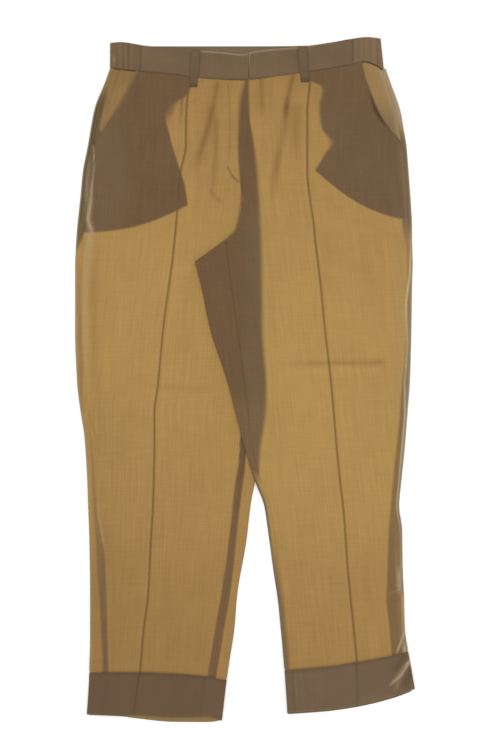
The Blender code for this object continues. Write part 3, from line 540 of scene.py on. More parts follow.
def thigh(x, y):
    """Painted shade of the fly's strip and, below it, of where one leg lies over the other."""
    seam = np.where(y > CROTCH, LEG["left"]["inseam"](y), LEG["left"]["inner"](y))
    west = np.where(y > LAP_TOP, THIGH_WEST(y), seam)
    soft_west = np.interp(y, [720, 750, 830, 880], [1.6, 3.0, 6.0, 9.0])
    soft_east = np.interp(y, [330, 420, 780, 830, 900], [5.0, 8.0, 9.0, 3.5, 2.0])
    share = np.interp(y, [330, 352, 440, 470, 870, 899], [0.0, 0.92, 0.92, 1.0, 1.0, 0.92])
    return share * soft(x - west, soft_west) * soft(THIGH_EAST(y) - x, soft_east) * (y > 334.0)


SHADE_TOP = [(884, 108.5), (890, 106.5), (894, 100), (897, 92), (899.5, 84), (902, 82), (914, 82)]
bag_shade_edge = {"right": bag_inner["right"],
                  "left": line([(b.inner_y, b.inner_x) for b in BAGS["left"][2:]] + SHADE_TOP)}
SOFT_INNER = {"right": ((780, 2.4), (830, 2.6), (862, 3.5), (872, 7.0)),
              "left": ((780, 2.4), (830, 2.6), (846, 5.5), (880, 6.5))}


def bag_shade(side, x, y):
    """The pocket bag seen through the front."""
    out = OUTWARD[side]
    inner = (x - bag_shade_edge[side](y)) * out * 0.85
    foot = (y - bag_foot_y(side, x)) * 0.93
    notch = bell(y - 812.0, 11.0) * (side == "left")
    soft_inner = shares_at(SOFT_INNER[side], y) + 10.0 * notch
    return soft(inner + 1.5 * notch, soft_inner) * soft(foot, 3.0)


def layers(side, x, y, on_front):
    """The share of painted shade at each point, where layers of cloth lie on each other against the light
    behind.
    """
    b = thigh(x, y)
    for s in STRIPES[side]:
        inside = soft(x - line_x(side, s.west, y), s.soft_west)
        inside = inside * soft(line_x(side, s.east, y) - x, s.soft_east)
        b = np.maximum(b, shares_at(s.shares, y) * inside)
    if on_front:
        b = np.maximum(b, bag_shade(side, x, y))
    return b


def layer_shade_browns(x, y):
    """The painted shade of doubled layers, here and there a little more olive."""
    inner_thigh = 0.7 * ease((x + 10.0) / 26.0) * (x < 60.0) * ease((750.0 - y) / 50.0)
    olive = np.maximum(0.8 * ease((-145.0 - x) / 50.0), inner_thigh)
    olive = np.maximum(olive, 0.40 * (x > 90.0)) * (0.8 + 0.2 * np.sin(y / 33.0 + x / 50.0))
    return paint(olive, SHADE_BROWN, SHADE_OLIVE)


def shaded(colour, factor):
    return colour * factor[..., None]


def paint(share, base, over):
    return base + (over - base) * share[..., None]


def blotches(x, y):
    """Slow changes of tone in the cloth, about 1."""
    a = np.sin(x / 31.0 + 2.0 * np.sin(y / 83.0)) * np.sin(y / 57.0 + 0.6 * np.sin(x / 45.0))
    b = np.sin(x / 12.0 + y / 29.0) * np.sin(y / 17.0 - x / 37.0)
    return 1.0 + 0.020 * a + 0.010 * b


def front_colour(side, x, y):
    b = layers(side, x, y, True)
    # Painted shading of the folds: shade towards brown, and a painted highlight where the value is below
    # zero
    dark = fold_field(FOLDS, x, y, "dark")
    gold = paint(np.clip(dark, 0.0, 0.75), backlit_gold_at(side, x, y), FOLD_SHADE)
    gold = shaded(gold, 1.0 + np.clip(-dark, 0.0, 0.5) * 0.6)
    brown = shaded(layer_shade_browns(x, y), 1.0 + 0.5 * np.clip(-dark, -0.2, 0.5))
    # Painted shade where layers lie on each other, over the backlit gold
    colour = paint(b, gold, brown)
    # A painted shade line along the crease, and a painted highlight on its raised side
    d = x - LEG[side]["crease"](y)
    below_band = ease((band_bottom(x) - 6.0 - y) / 8.0)
    crease = bell(d - 0.2, 1.6) * below_band
    painted_highlight = bell(d + 3.0, 1.3) * (1.0 - b) * below_band
    colour = paint(0.10 * painted_highlight, colour, PALE_HIGHLIGHT)
    colour = paint(crease * mix(0.68, 0.26, b), colour, FOLD_SHADE)
    # Painted shadow just above the cuff's top edge
    colour = paint(0.45 * bell(y - HEM[side]["cuff_top"](x), 2.4), colour, SHADE_BROWN)
    return detailed(side, x, y, b, colour)


def detailed(side, x, y, b, colour):
    """Adds what both panels of a leg have: blotches, the left leg's inseam in faint painted shade and the
    painted fine lines.
    """
    colour = shaded(colour, blotches(x, y))
    if side == "left":
        seam = bell(x - LEG[side]["inseam"](y), 1.0) * ease((y - 395.0) / 30.0) * (y < 690.0)
        colour = shaded(colour, 1.0 - 0.10 * seam * b)
    for t in TONES[side]:
        near = bell(x - line_x(side, t.middle, y), t.half)
        colour = paint(shares_at(t.shares, y) * near, colour, t.colour)
    return colour


def backlit_gold_at(side, x, y):
    """The painted backlight of the single cloth: a gold that changes a little down the legs and beside their
    edges.
    """
    gold = paint(shares_at(LIT[side], y + 0.0 * x), BACKLIGHT_GOLD_DIM, BACKLIGHT_GOLD_BRIGHT)
    if side == "left":
        return gold
    # Painted shade: the gold a little darker towards the right leg's outer edge, low down
    outside = ease(1.0 - (x + 205.0) / 70.0) * ease((480.0 - y) / 120.0)
    gold = shaded(gold, 1.0 - 0.07 * outside)
    # A warmer painted backlight beside the right leg's inner edge
    beside = ease(1.0 - abs(x - LEG[side]["inner"](y)) / 30.0) * ease((395.0 - y) / 60.0)
    return paint(0.6 * beside, gold, BACKLIGHT_ORANGE)


def back_colour(side, x, y, on_top):
    b = layers(side, x, y, False)
    # Painted backlit gold, with painted shade where layers lie on each other
    colour = paint(b, backlit_gold_at(side, x, y), layer_shade_browns(x, y))
    outside = LEG[side]["outer"](y)
    # Painted shade of the layered brim beside the pocket
    if side == "right":
        low_end = 650.0 + 2.4 * np.clip(x - outside, 0.0, 20.0)
        brim = ease((y - low_end) / 16.0) * mix(0.95, 0.45, ease((y - 862.0) / 36.0)) * (x < -150.0)
    else:
        brim = ease((y - 690.0) / 20.0) * mix(0.95, 0.42, ease((y - 812.0) / 22.0)) * (x > 150.0)
    colour = paint(brim * on_top, colour, BRIM_SHADE)
    if side == "right":
        # A painted shadow line beside the right leg's outer edge, and painted shade under the pocket's mouth
        middle = bell(x - outside - 3.2, 1.5) * ease((y - 690.0) / 30.0) * ease((890.0 - y) / 40.0)
        colour = paint(0.60 * middle * on_top, colour, SHADOW_DARK)
        shade_under_mouth = (1.0 - on_top) * ease((y - 780.0) / 10.0) * (x < -190.0)
        colour = paint(0.9 * shade_under_mouth, colour, BRIM_SHADE)
    else:
        # Greyer painted shade along the left leg's outer strip
        edge_shade = ease((x - outside + 8.0) / 3.0) * ease((640.0 - y) / 60.0) * ease((y - 320.0) / 60.0)
        colour = paint(0.80 * edge_shade * on_top, colour, EDGE_GREY_SHADE)
        # A painted highlight on the left brim's upper part
        colour = paint(0.50 * ease((y - 822.0) / 24.0) * (x > 150.0) * on_top, colour, PALE_HIGHLIGHT)
    return detailed(side, x, y, b, colour)


# Meshes

RIM = 0.5  # width of the rounded rim round each shell
ROLL = ((0.32, 0.12), (0.5, 0.42), (0.36, 0.74), (-1.8, 0.92))  # outward and downward steps round it
OVER = 0.35  # how far a seam's upper cloth lies past the seam
UNDER = 0.9  # how far its lower cloth goes in below
DIP = 0.5  # and how much lower that lies there
DIP_REACH = 3.0
TUCK_UNDER = ((0.4, 0.4), (4.0, 1.3))  # how far the panels go in and down below the waistband
TUCK_NARROW = 0.003  # and how much they draw together there
TURN_STEPS = 8  # steps round a half turn of the waistband or a cuff
ARC_STEPS = 10  # and round the edge of a leg
FRONT_ROW, BACK_ROW = 1.7, 2.2  # height of the rows of the front's and the back's grid
HALF_FRONT_STEPS, CREASE_STEPS = 62, 12  # steps across each half of a front, and across its crease
WRAP_STEPS, STRIP_STEPS, BACK_STEPS = 8, 25, 48  # across a back's two turned parts, and underneath
BAG_ROWS, BAG_COLUMNS = 91, 61
SHIELD_ROWS, SHIELD_STEPS = 60, 12
BAND_FRONT_ROWS, BAND_FRONT_STEPS = 24, 90
BAND_BACK_ROWS, BAND_SIDE_STEPS, BAND_UNDER_STEPS = 26, 34, 150
LOOP_ROWS, LOOP_COLUMNS = 46, 13
CUFF_ROWS, CUFF_STEPS = 38, (44, 10, 30)  # rows, and steps across its inner part, crease and outer part
INSIDE_CUFF = 46.0  # where a leg ends inside its cuff, above its last row
MARKS = {"right": (RIGHT_TURN,), "left": (CROTCH, TIP)}  # heights where a row of each leg's grid lies


def in_frame(points):
    """Points in the measure of the tables as places in metres."""
    return (points - np.array([MIDDLE_X, MIDDLE_Y, 0.0])) / 1000.0


def roll(points, axis, end, thick):
    """Rounds one border of a grid over and under, so that the cloth has a thickness there."""
    grid = points if axis == 1 else points.transpose(1, 0, 2)
    grid = grid if end else grid[:, ::-1]
    edge, before = grid[:, -1], grid[:, -2]
    way = edge - before
    way[:, 2] = 0.0
    way /= np.maximum(np.linalg.norm(way, axis=1, keepdims=True), 1e-6)
    more = []
    for outward, down in ROLL:
        step = edge + way * outward
        step[:, 2] = edge[:, 2] - down * thick
        more.append(step)
    grid = np.concatenate([grid, np.stack(more, axis=1)], axis=1)
    grid = grid if end else grid[:, ::-1]
    return grid if axis == 1 else grid.transpose(1, 0, 2)


def roll_sides(points, thick):
    return roll(roll(points, 1, False, thick), 1, True, thick)


def roll_round(points, thick, last):
    """Rounds all four borders, the last row by a thickness of its own."""
    return roll_sides(roll(roll(points, 0, False, thick), 0, True, last), thick)


def dipped(side, name, x, y, z):
    """Lets the lower cloth of a seam down beside it."""
    return z - DIP * ease(1.0 - abs(x - LEG[side][name](y)) / DIP_REACH)


def tuck(side, points):
    """Carries a panel's first row on below the waistband, and under its surface."""
    row, more = points[:1], []
    x = row[..., 0]
    band_top = band_front_z(side, x, 0.0) + BAND / 2.0
    for deep, down in TUCK_UNDER:
        step = row + np.array([0.0, deep, 0.0])
        step[..., 0] = x - TUCK_NARROW * deep * (x - LEG[side]["crease"](WAIST))
        step[..., 2] = np.minimum(row[..., 2] - 0.1, band_top - down)
        more.insert(0, step)
    return np.concatenate(more + [points])


def half_turn(centre, radius, towards, bottom, top_y, under_y, count=TURN_STEPS):
    """Cloth that turns round an edge, from its upper side to its under side."""
    t = np.linspace(0.0, 1.0, count + 1)[None, :]
    angle = math.pi * (0.5 - t)
    x = centre + towards * radius * np.cos(angle)
    return np.stack([x, mix(top_y, under_y, t), bottom + radius * (1.0 + np.sin(angle))], axis=-1)


def placed(name, data):
    made = bpy.data.objects.new(name, data)
    bpy.context.scene.collection.objects.link(made)
    return made


def build(name, points, colour, side, slot, node, flip=False, loop=False, wall=None):
    """Makes a sheet of cloth from a grid of points in millimetres, leaving out those that are not numbers.
    """
    if flip:
        points, colour = points[:, ::-1], colour[:, ::-1]
    there = np.isfinite(points[..., 2])
    number = np.where(there, np.cumsum(there.ravel()).reshape(there.shape) - 1, -1)
    right = np.roll(number, -1, axis=1) if loop else number[:, 1:]
    left = number if loop else number[:, :-1]
    quads = np.stack([left[:-1], left[1:], right[1:], right[:-1]], axis=-1).reshape(-1, 4)
    quads = quads[(quads >= 0).all(axis=1)]
    flat = points[there]
    mesh = bpy.data.meshes.new(name)
    mesh.vertices.add(len(flat))
    mesh.vertices.foreach_set("co", in_frame(flat).ravel())
    mesh.loops.add(quads.size)
    mesh.loops.foreach_set("vertex_index", quads.ravel())
    mesh.polygons.add(len(quads))
    mesh.polygons.foreach_set("loop_start", np.arange(0, quads.size, 4))
    mesh.update(calc_edges=True)
    mesh.validate()
    mesh.shade_smooth()
    shades = mesh.color_attributes.new("tone", "FLOAT_COLOR", "POINT")
    rgba = np.concatenate([np.clip(colour[there], 0.0, 1.0), np.ones((len(flat), 1))], axis=1)
    shades.data.foreach_set("color", rgba.ravel())
    grain = mesh.attributes.new("grain", "FLOAT_VECTOR", "POINT")
    across = flat[:, 0] - (LEG[side]["crease"](flat[:, 1]) if side else 0.0)
    threads = np.stack([across, flat[:, 1], flat[:, 2]], axis=1) / 1000.0
    grain.data.foreach_set("vector", threads.ravel())
    mesh.materials.append(CLOTHS[slot])
    made = placed(name, mesh)
    if wall:
        add_wall(made, wall)
    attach(made, "root")
    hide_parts(node)


def add_wall(made, wall):
    thick = made.modifiers.new("wall", "SOLIDIFY")
    thick.thickness = wall / 1000.0
    thick.offset = 0.0
    thick.use_even_offset = True
    rim = made.modifiers.new("rim", "BEVEL")
    rim.width = wall / 3300.0
    rim.segments = 2
    rim.limit_method = "ANGLE"
    rim.angle_limit = math.radians(60)


def row_line(side, step):
    """Nominal heights of the rows of a leg's grid, from the waist to inside the cuff, through its marks."""
    first, final = ROWS[side]
    stops = [first, *MARKS[side], final + INSIDE_CUFF]
    heights = [np.linspace(a, b, int((a - b) / step) + 2)[:-1] for a, b in zip(stops, stops[1:])]
    return np.concatenate(heights + [np.array([stops[-1]])])[:, None]


def span(a, b, count):
    return a + (b - a) * np.linspace(0.0, 1.0, count + 1)[None, :]


# Panels

def front_panel(side):
    out = OUTWARD[side]
    y = row_line(side, FRONT_ROW)
    outseam = seam_point(side, "outseam", y, out * (OVER - RIM))[0]
    crease = seam_point(side, "crease", y, 0.0)[0]
    inseam = seam_point(side, "inseam", y, -out * (OVER - RIM))[0]
    above_lap = ease((y - LAP_TOP) / 10.0) if side == "right" else 0.0 * y
    inseam = inseam + (UNDER - OVER) * above_lap
    beside = 3.0 * out
    x = np.concatenate([span(outseam, crease + beside, HALF_FRONT_STEPS)[:, :-1],
                        span(crease + beside, crease - beside, CREASE_STEPS),
                        span(crease - beside, inseam, HALF_FRONT_STEPS)[:, 1:]], axis=1)
    at = settle(side, x, y, "front")
    d = (x - crease) * out
    ridge = bell(d, 0.9) + 0.25 * bell(d - 1.1, 1.2)
    below_loop = ease((band_bottom(x) - LOOP_PAST - at) / 14.0)
    z = front(side, x, at) + CLOTH / 2.0 + 0.75 * TUCK_HIGH * ridge * below_loop
    z = mix(z, dipped(side, "inseam", x, at, z), above_lap)
    points = tuck(side, roll_sides(np.stack([x, at, z], axis=-1), 1.0))
    colour = front_colour(side, points[..., 0], points[..., 1])
    build(f"linen_front_{side}", points, colour, side, "linen", f"front_{side}",
          flip=side == "left")


def edge_arc(side, name, y, towards):
    """The cloth that turns round an edge of a leg, from above to below, with its edge and upper height."""
    edge = LEG[side][name](y)
    under_y = settle(side, edge, y, "back")
    top_y = settle(side, edge - towards * ROUND_IN, y, "front")
    edge = LEG[side][name](top_y)
    edge = edge - towards * inset(side, edge, top_y)
    bottom, top = low(side, edge, under_y) - CLOTH / 2.0, turned(side, edge, top_y) + CLOTH / 2.0
    radius = (top - bottom) / 2.0
    arc = half_turn(edge - towards * radius, radius, towards, bottom, top_y, under_y, ARC_STEPS)
    return arc, edge, top_y


def back_panel(side):
    out = OUTWARD[side]
    y = row_line(side, BACK_ROW)
    arc, edge, top_y = edge_arc(side, "outer", y, out)
    seam, seam_y = seam_point(side, "outseam", y, -out * UNDER)
    mouth = ease((top_y - MOUTH_END + 4.0) / 8.0)
    brim = mix(seam, edge - out * (BRIM - RIM), mouth)
    brim_y = mix(seam_y, settle(side, brim, y, "front"), mouth)
    share = np.linspace(0.0, 1.0, WRAP_STEPS + 1)[None, :-1]
    x = mix(brim, arc[:, :1, 0], share)
    at = mix(brim_y, arc[:, :1, 1], share)
    z = turned(side, x, at) + CLOTH / 2.0
    wrap = np.stack([x, at, mix(dipped(side, "outseam", x, at, z), z, mouth)], axis=-1)
    turn = edge_arc(side, "inner", y, -out)[0][:, ::-1]
    climb = (CROTCH - TIP - 1.0) * ease((y - 540.0) / (TIP - 540.0)) if side == "left" else 0.0
    end, end_y = seam_point(side, "inseam", y + climb, out * UNDER)
    share = np.linspace(0.0, 1.0, STRIP_STEPS + 1)[None, 1:]
    x = mix(turn[:, -1:, 0], end, share)
    at = mix(turn[:, -1:, 1], end_y, share)
    strip = np.stack([x, at, dipped(side, "inseam", x, at, turned(side, x, at) + CLOTH / 2.0)], axis=-1)
    above_turn = y > MARKS[side][-1]
    start = np.where(above_turn, LEG[side]["inner"](y) + out * GAP / 2.0, turn[:, :1, 0])
    x = span(arc[:, -1:, 0], start, BACK_STEPS)[:, 1:]
    at = settle(side, x, y, "back")
    flat = np.stack([x, at, low(side, x, at) - CLOTH / 2.0], axis=-1)
    turn, strip = turn[:, 1:], roll(strip, 1, True, 1.0)
    turn[above_turn[:, 0]] = np.nan
    strip[above_turn[:, 0]] = np.nan
    wrap = roll(np.concatenate([wrap, arc], axis=1), 1, False, 1.0)
    points = tuck(side, np.concatenate([wrap, flat, turn, strip], axis=1))
    on_top = np.ones((1, points.shape[1]))
    on_top[:, wrap.shape[1] - ARC_STEPS // 2:-(ARC_STEPS // 2 + strip.shape[1])] = 0.0
    colour = back_colour(side, points[..., 0], points[..., 1], on_top)
    build(f"linen_back_{side}", points, colour, side, "linen", f"back_{side}",
          flip=side == "right")


def pocket(side):
    bag = BAGS[side]
    k = np.linspace(0.0, len(bag) - 1.0, BAG_ROWS)[:, None]
    inner_x = np.interp(k, range(len(bag)), [b.inner_x for b in bag])
    inner_y = np.interp(k, range(len(bag)), [b.inner_y for b in bag])
    share = k / (len(bag) - 1.0)
    top = band_bottom(LEG[side]["outer"](905.0)) - 4.0 * GAP
    outer_y = mix(top, BAG_FOOT[side], share)
    beside = LEG[side]["outer"](outer_y) - OUTWARD[side] * (BRIM - 1.5)
    outer_x = mix(bag_outer_x(side, outer_y), beside, ease((outer_y - MOUTH_END + 6.0) / 12.0))
    u = (np.linspace(0.0, 1.0, BAG_COLUMNS) ** 1.4)[None, :]
    x = mix(outer_x, inner_x, u)
    y = mix(outer_y, inner_y, u)
    y = mix(y, band_bottom(x) - 4.0 * GAP, np.clip(1.0 - k * 4.0, 0.0, 1.0))
    y = y - BAG_SAG[side] * np.sin(math.pi * u) * ease((share - 0.6) / 0.4)
    z = upper(side, x, y) - CLOTH / 2.0 + DOUBLED / 2.0
    z = z + 0.35 * bell(x - outer_x, 6.0) * np.sin(y / 11.0)
    colour = facing_colour(side, x, y)
    build(f"linen_pocket_{side}", np.stack([x, y, z], axis=-1), colour, side, "linen_doubled",
          f"pocket_{side}", flip=side == "left", wall=1.2)


def facing_colour(side, x, y):
    """The facing in the pocket's slanted mouth in backlit gold, with the turned edge's painted shade showing
    outside it, painted shadow in the mouth's gap and painted highlights.
    """
    if side == "right":
        b = 0.42 + 0.10 * ease((850.0 - y) / 20.0) + 0.14 * ease((y - 885.0) / 15.0)
        border = soft(np.interp(y, [834, 876, 907], [-200.5, -191, -186.5]) - x, 3.0)
        b = np.maximum(b, mix(0.92, 0.45, ease((y - 870.0) / 30.0)) * border)
        # A line of painted shade, a painted shadow line and painted highlights near the mouth
        shade_streak = bell(x - np.interp(y, [864, 889, 911], [-193, -183.6, -177]), 2.0)
        dark = bell(x - np.interp(y, [820, 850, 878], [-211.5, -204.4, -196.5]), 1.6)
        painted_highlight = bell(x - np.interp(y, [834, 876, 907], [-202.3, -192.9, -189]), 1.2)
        painted_highlight = painted_highlight * ease((y - 826.0) / 8.0) * ease((900.0 - y) / 60.0)
        edge = ease((-188.0 - x) / 6.0) * ease((y - 884.0) / 20.0)
        colour = paint(0.28 * shade_streak * ease((y - 850.0) / 20.0), paint(b, BACKLIGHT_GOLD, BRIM_SHADE), BRIM_SHADE)
        colour = paint(0.40 * dark * ease((884.0 - y) / 20.0), colour, SHADOW_DARK)
        colour = paint(np.maximum(0.36 * painted_highlight, 0.5 * edge), colour, PALE_HIGHLIGHT)
    else:
        b = mix(0.74, 0.36, ease((y - 840.0) / 40.0)) + 0.20 * ease((174.0 - x) / 12.0)
        # Paler towards the outer edge as painted light, and painted shadow in the mouth's gap
        outer = ease((x - LEG[side]["outer"](y) + 16.0) / 14.0)
        colour = paint(0.14 + 0.5 * outer, paint(b, BACKLIGHT_GOLD, BRIM_SHADE), PALE_HIGHLIGHT)
        mouth = np.interp(y, [808, 834, 856, 880], [1.4, 1.8, 2.8, 1.8])
        gap = np.interp(y, [808, 834, 846, 876, 888, 902], [0.30, 0.55, 0.95, 0.90, 0.45, 0.0])
        colour = paint(gap * bell(x - LEG[side]["outseam"](y) - 1.2, mouth), colour, SHADOW_DARK)
    return shaded(colour, blotches(x, y))


def fly_strip():
    y = np.linspace(SHIELD[0].y, SHIELD[-1].y, SHIELD_ROWS)[:, None]
    x = span(shield_west(y), shield_east(y), SHIELD_STEPS)
    at = y + 0.0 * x
    points = np.stack([x, at, upper("right", x, at)], axis=-1)
    # The hidden strip in the brown of painted layer shade
    build("linen_fly_strip", points, np.broadcast_to(SHADE_BROWN, points.shape), "right", "linen_doubled",
          "fly_shield", wall=1.0)


# Waistband, belt loops and cuffs

def gathers(x, side):
    """The small uneven gathers of the elastic: their height in millimetres."""
    high = 0.42 * ease((x - BAND_SEAM[side]) * OUTWARD[side] / 8.0) * (1.0 + 0.4 * np.sin(x / 7.1))
    return high * np.sin(2.0 * math.pi * x / 9.4 + 0.9 * np.sin(x / 5.3))


def band_colour(x, share):
    """The waistband's brown, darker along its seams, with painted shade along its lower edge, paler beyond x
    146, and painted highlights along its upper edge and in one place.
    """
    tone = 1.0 + 0.035 * np.sin(x / 17.0) * np.sin(x / 41.0 + 1.0) + 0.03 * np.sin(6.0 * share + x / 60.0)
    tone = tone * (1.0 - 0.20 * bell(share, 0.05)) * (1.0 + 0.19 * ease((x - 146.0) / 12.0))
    seams = np.maximum(bell(x + 147.5, 2.2), bell(x - 151.0, 2.0))
    colour = paint(0.22 * seams, shaded(BAND_BROWN, tone), SHADOW_DARK)
    highlight_spot = bell(x + 183.0, 1.6) * bell(share - 0.32, 0.16)
    top = 0.55 * bell(share - 0.975, 0.035) * ease((x + 90.0) / 40.0) * ease((110.0 - x) / 40.0)
    return paint(np.maximum(top, 0.35 * highlight_spot), colour, PALE_HIGHLIGHT)


def band_front(side):
    out = OUTWARD[side]
    x = span(BAND_SEAM[side] - out * (RIM - OVER), BAND_LAP + out * (GAP / 2.0 + RIM), BAND_FRONT_STEPS)
    share = np.linspace(0.0, 1.0, BAND_FRONT_ROWS)[:, None]
    y = mix(band_bottom(x) + RIM, band_top_front(x) - RIM, share)
    wave = 0.16 * np.sin(x / 9.0) * np.sin(x / 23.0 + 2.0 * share) + 0.10 * np.sin(x / 4.1 + 5.0 * share)
    z = band_front_z(side, x, share) + BAND / 2.0 + wave - 0.35 * ease((share - 0.86) / 0.14)
    points = roll_round(np.stack([x + 0.0 * y, y, z], axis=-1), BAND, BAND)
    px = points[..., 0]
    shares = (points[..., 1] - band_bottom(px)) / (band_top_front(px) - band_bottom(px))
    # A painted highlight along the end of the half that lies over the other
    lap = bell(px - BAND_LAP - 0.4, 1.0) * ease((shares - 0.1) / 0.8)
    build(f"waistband_front_{side}", points, paint(0.45 * lap, band_colour(px, shares), PALE_HIGHLIGHT), None,
          "linen_doubled", f"band_front_{side}", flip=side == "left")


def band_back():
    share = np.linspace(0.0, 1.0, BAND_BACK_ROWS)[:, None]
    halves, centres = {}, {}
    for side, out in OUTWARD.items():
        edge = mix(*BAND_END[side], share)
        bottom = BAND / 2.0
        radius = (band_front_z(side, edge, share) + BAND_LOFT - bottom) / 2.0
        centre = edge - out * (radius + BAND / 2.0)
        x = span(BAND_SEAM[side] - out * UNDER, centre, BAND_SIDE_STEPS)[:, :-1]
        z = band_front_z(side, x, share) + BAND_LOFT * ease(1.0 - abs(centre - x) / EDGE_REACH)
        z = z + gathers(x, side) * (1.0 + 0.3 * np.cos(7.0 * share))
        z = z - 0.6 * ease(1.0 - (x - BAND_SEAM[side]) * out / DIP_REACH)
        y = mix(band_bottom(x), band_top_front(x), share) + 0.35 * gathers(x, side) * (share > 0.99)
        top_y = mix(band_bottom(centre), band_top_front(centre), share)
        under_y = mix(back_waist(centre), band_top_back(centre), share)
        turn = half_turn(centre, radius, out, bottom, top_y, under_y)
        halves[side] = np.concatenate([np.stack([x, y, z], axis=-1), turn], axis=1)
        centres[side] = centre
    x = span(centres["right"], centres["left"], BAND_UNDER_STEPS)[:, 1:-1]
    under = np.stack([x, mix(back_waist(x), band_top_back(x), share), BAND / 2.0 + 0.0 * x], axis=-1)
    points = np.concatenate([halves["right"], under, halves["left"][:, ::-1]], axis=1)
    px, count = points[..., 0], halves["right"].shape[1]
    inner = 0.0 * px
    inner[:, count:count + under.shape[1]] = 1.0
    # Painted light and shade across the elastic's gathers, and the inside in its own brown
    gather_shading = gathers(px, "right") + gathers(px, "left")
    colour = paint(inner, shaded(band_colour(px, share), 1.0 + 0.17 * gather_shading), INSIDE)
    build("waistband_back", points, colour, None, "linen_doubled", "band_back",
          flip=True, wall=1.7)


def belt_loop(side):
    top_x, foot_x = LOOPS[side]
    bottom = band_bottom(top_x)
    top, foot = band_top_front(top_x) - 0.6, bottom - LOOP_PAST
    y = np.linspace(top, foot, LOOP_ROWS)[:, None]
    middle = mix(foot_x, top_x, (y - foot) / (top - foot))
    half = LOOP_WIDE / 2.0 - RIM - (1.0 if side == "right" else 0.4) * ease((bottom + 12.0 - y) / 24.0)
    x = middle + half * np.linspace(-1.0, 1.0, LOOP_COLUMNS)[None, :]
    share = np.clip((y - bottom) / (top - bottom), 0.0, 1.0)
    on_band = band_front_z(side, middle, share) + BAND / 2.0
    on_front = np.maximum(front(side, middle - 5.0, y), front(side, middle + 5.0, y)) + CLOTH / 2.0
    rest = mix(on_front, on_band, ease((y - bottom + 3.0) / 6.0))
    rest = np.maximum(rest, front(side, middle, y) + CLOTH / 2.0)
    across = (x - middle) / (LOOP_WIDE / 2.0)
    z = rest + GAP + 1.0 + 0.25 * (1.0 - across ** 2) + 0.7 * np.sin(math.pi * share) ** 2
    z = z - 0.18 * bell(abs(across) - 0.62, 0.12)
    points = roll_round(np.stack([x, y + 0.0 * x, z], axis=-1), 1.2, 1.5)
    px, py = points[..., 0], points[..., 1]
    # Painted shade at the loop's lower end; the part on the band a little lighter
    tone = 1.0 + 0.10 * ease((py - bottom) / 30.0) - 0.26 * ease((bottom - 5.0 - py) / 7.0)
    stitch = bell(abs(px - np.interp(py, [foot, top], [foot_x, top_x])) - 4.2, 0.5)
    build(f"loop_{side}", points, shaded(LOOP_BROWN, tone * (1.0 - 0.10 * stitch)), None, "linen_doubled",
          f"belt_loop_{side}")


def cuff_line(side, name, share):
    """A line of the leg at each row of its cuff, whose height depends on that line in turn."""
    x = LEG[side][name](0.0 * share)
    for _ in range(3):
        x = LEG[side][name](mix(HEM[side]["front"](x), HEM[side]["cuff_top"](x), share))
    return x


def cuff(side):
    out, hem = OUTWARD[side], HEM[side]
    bottom, clear = DOUBLED / 2.0, CLOTH / 2.0 + CUFF_LOFT + DOUBLED / 2.0
    share = np.linspace(0.0, 1.0, CUFF_ROWS)[:, None]
    turns = {}
    for towards, name in ((out, "outer"), (-out, "inner")):
        edge = cuff_line(side, name, share)
        y = mix(hem["front"](edge), hem["cuff_top"](edge), share)
        back_y = mix(hem["back"](edge), hem["cuff_top"](edge), share)
        radius = (turned(side, edge, y) + clear - bottom) / 2.0
        centre = edge - towards * (radius + DOUBLED / 2.0)
        turns[name] = half_turn(centre, radius, towards, bottom, y, back_y)
    crease, beside = cuff_line(side, "crease", share), 4.0 * out
    inner, outer = turns["inner"][:, :1, 0], turns["outer"][:, :1, 0]
    stops = (inner, crease - beside, crease + beside, outer)
    spans = [span(a, b, count)[:, 1:] for a, b, count in zip(stops, stops[1:], CUFF_STEPS)]
    x = np.concatenate(spans, axis=1)[:, :-1]
    y = mix(hem["front"](x), hem["cuff_top"](x), share)
    calm = ease(np.minimum((x - inner) * out, (outer - x) * out) / 5.0)
    relief = (fold_field(CUFF_FOLDS, x, y, "high") + 0.8 * wrinkles(x * 1.7, y * 1.9)) * calm
    z = turned(side, x, y) + clear + relief + TUCK_HIGH * 0.8 * bell(x - crease, 1.6)
    over = np.stack([x, y, z], axis=-1)
    under = np.stack([x, mix(hem["back"](x), hem["cuff_top"](x), share), bottom + 0.0 * x], axis=-1)
    points = np.concatenate([over, turns["outer"], under[:, ::-1], turns["inner"][:, ::-1]], axis=1)
    underneath = 0.0 * points[..., 0]
    underneath[:, over.shape[1] + TURN_STEPS // 2 + 1:-(TURN_STEPS // 2 + 1)] = 1.0
    colour = cuff_colour(side, points[..., 0], points[..., 1], share, underneath)
    build(f"turnup_{side}", points, colour, side, "linen_doubled", f"cuff_{side}",
          flip=side == "left", loop=True, wall=1.4)


CUFF_GLINT = line([(50, 200), (68.7, 219.5), (90, 232)])


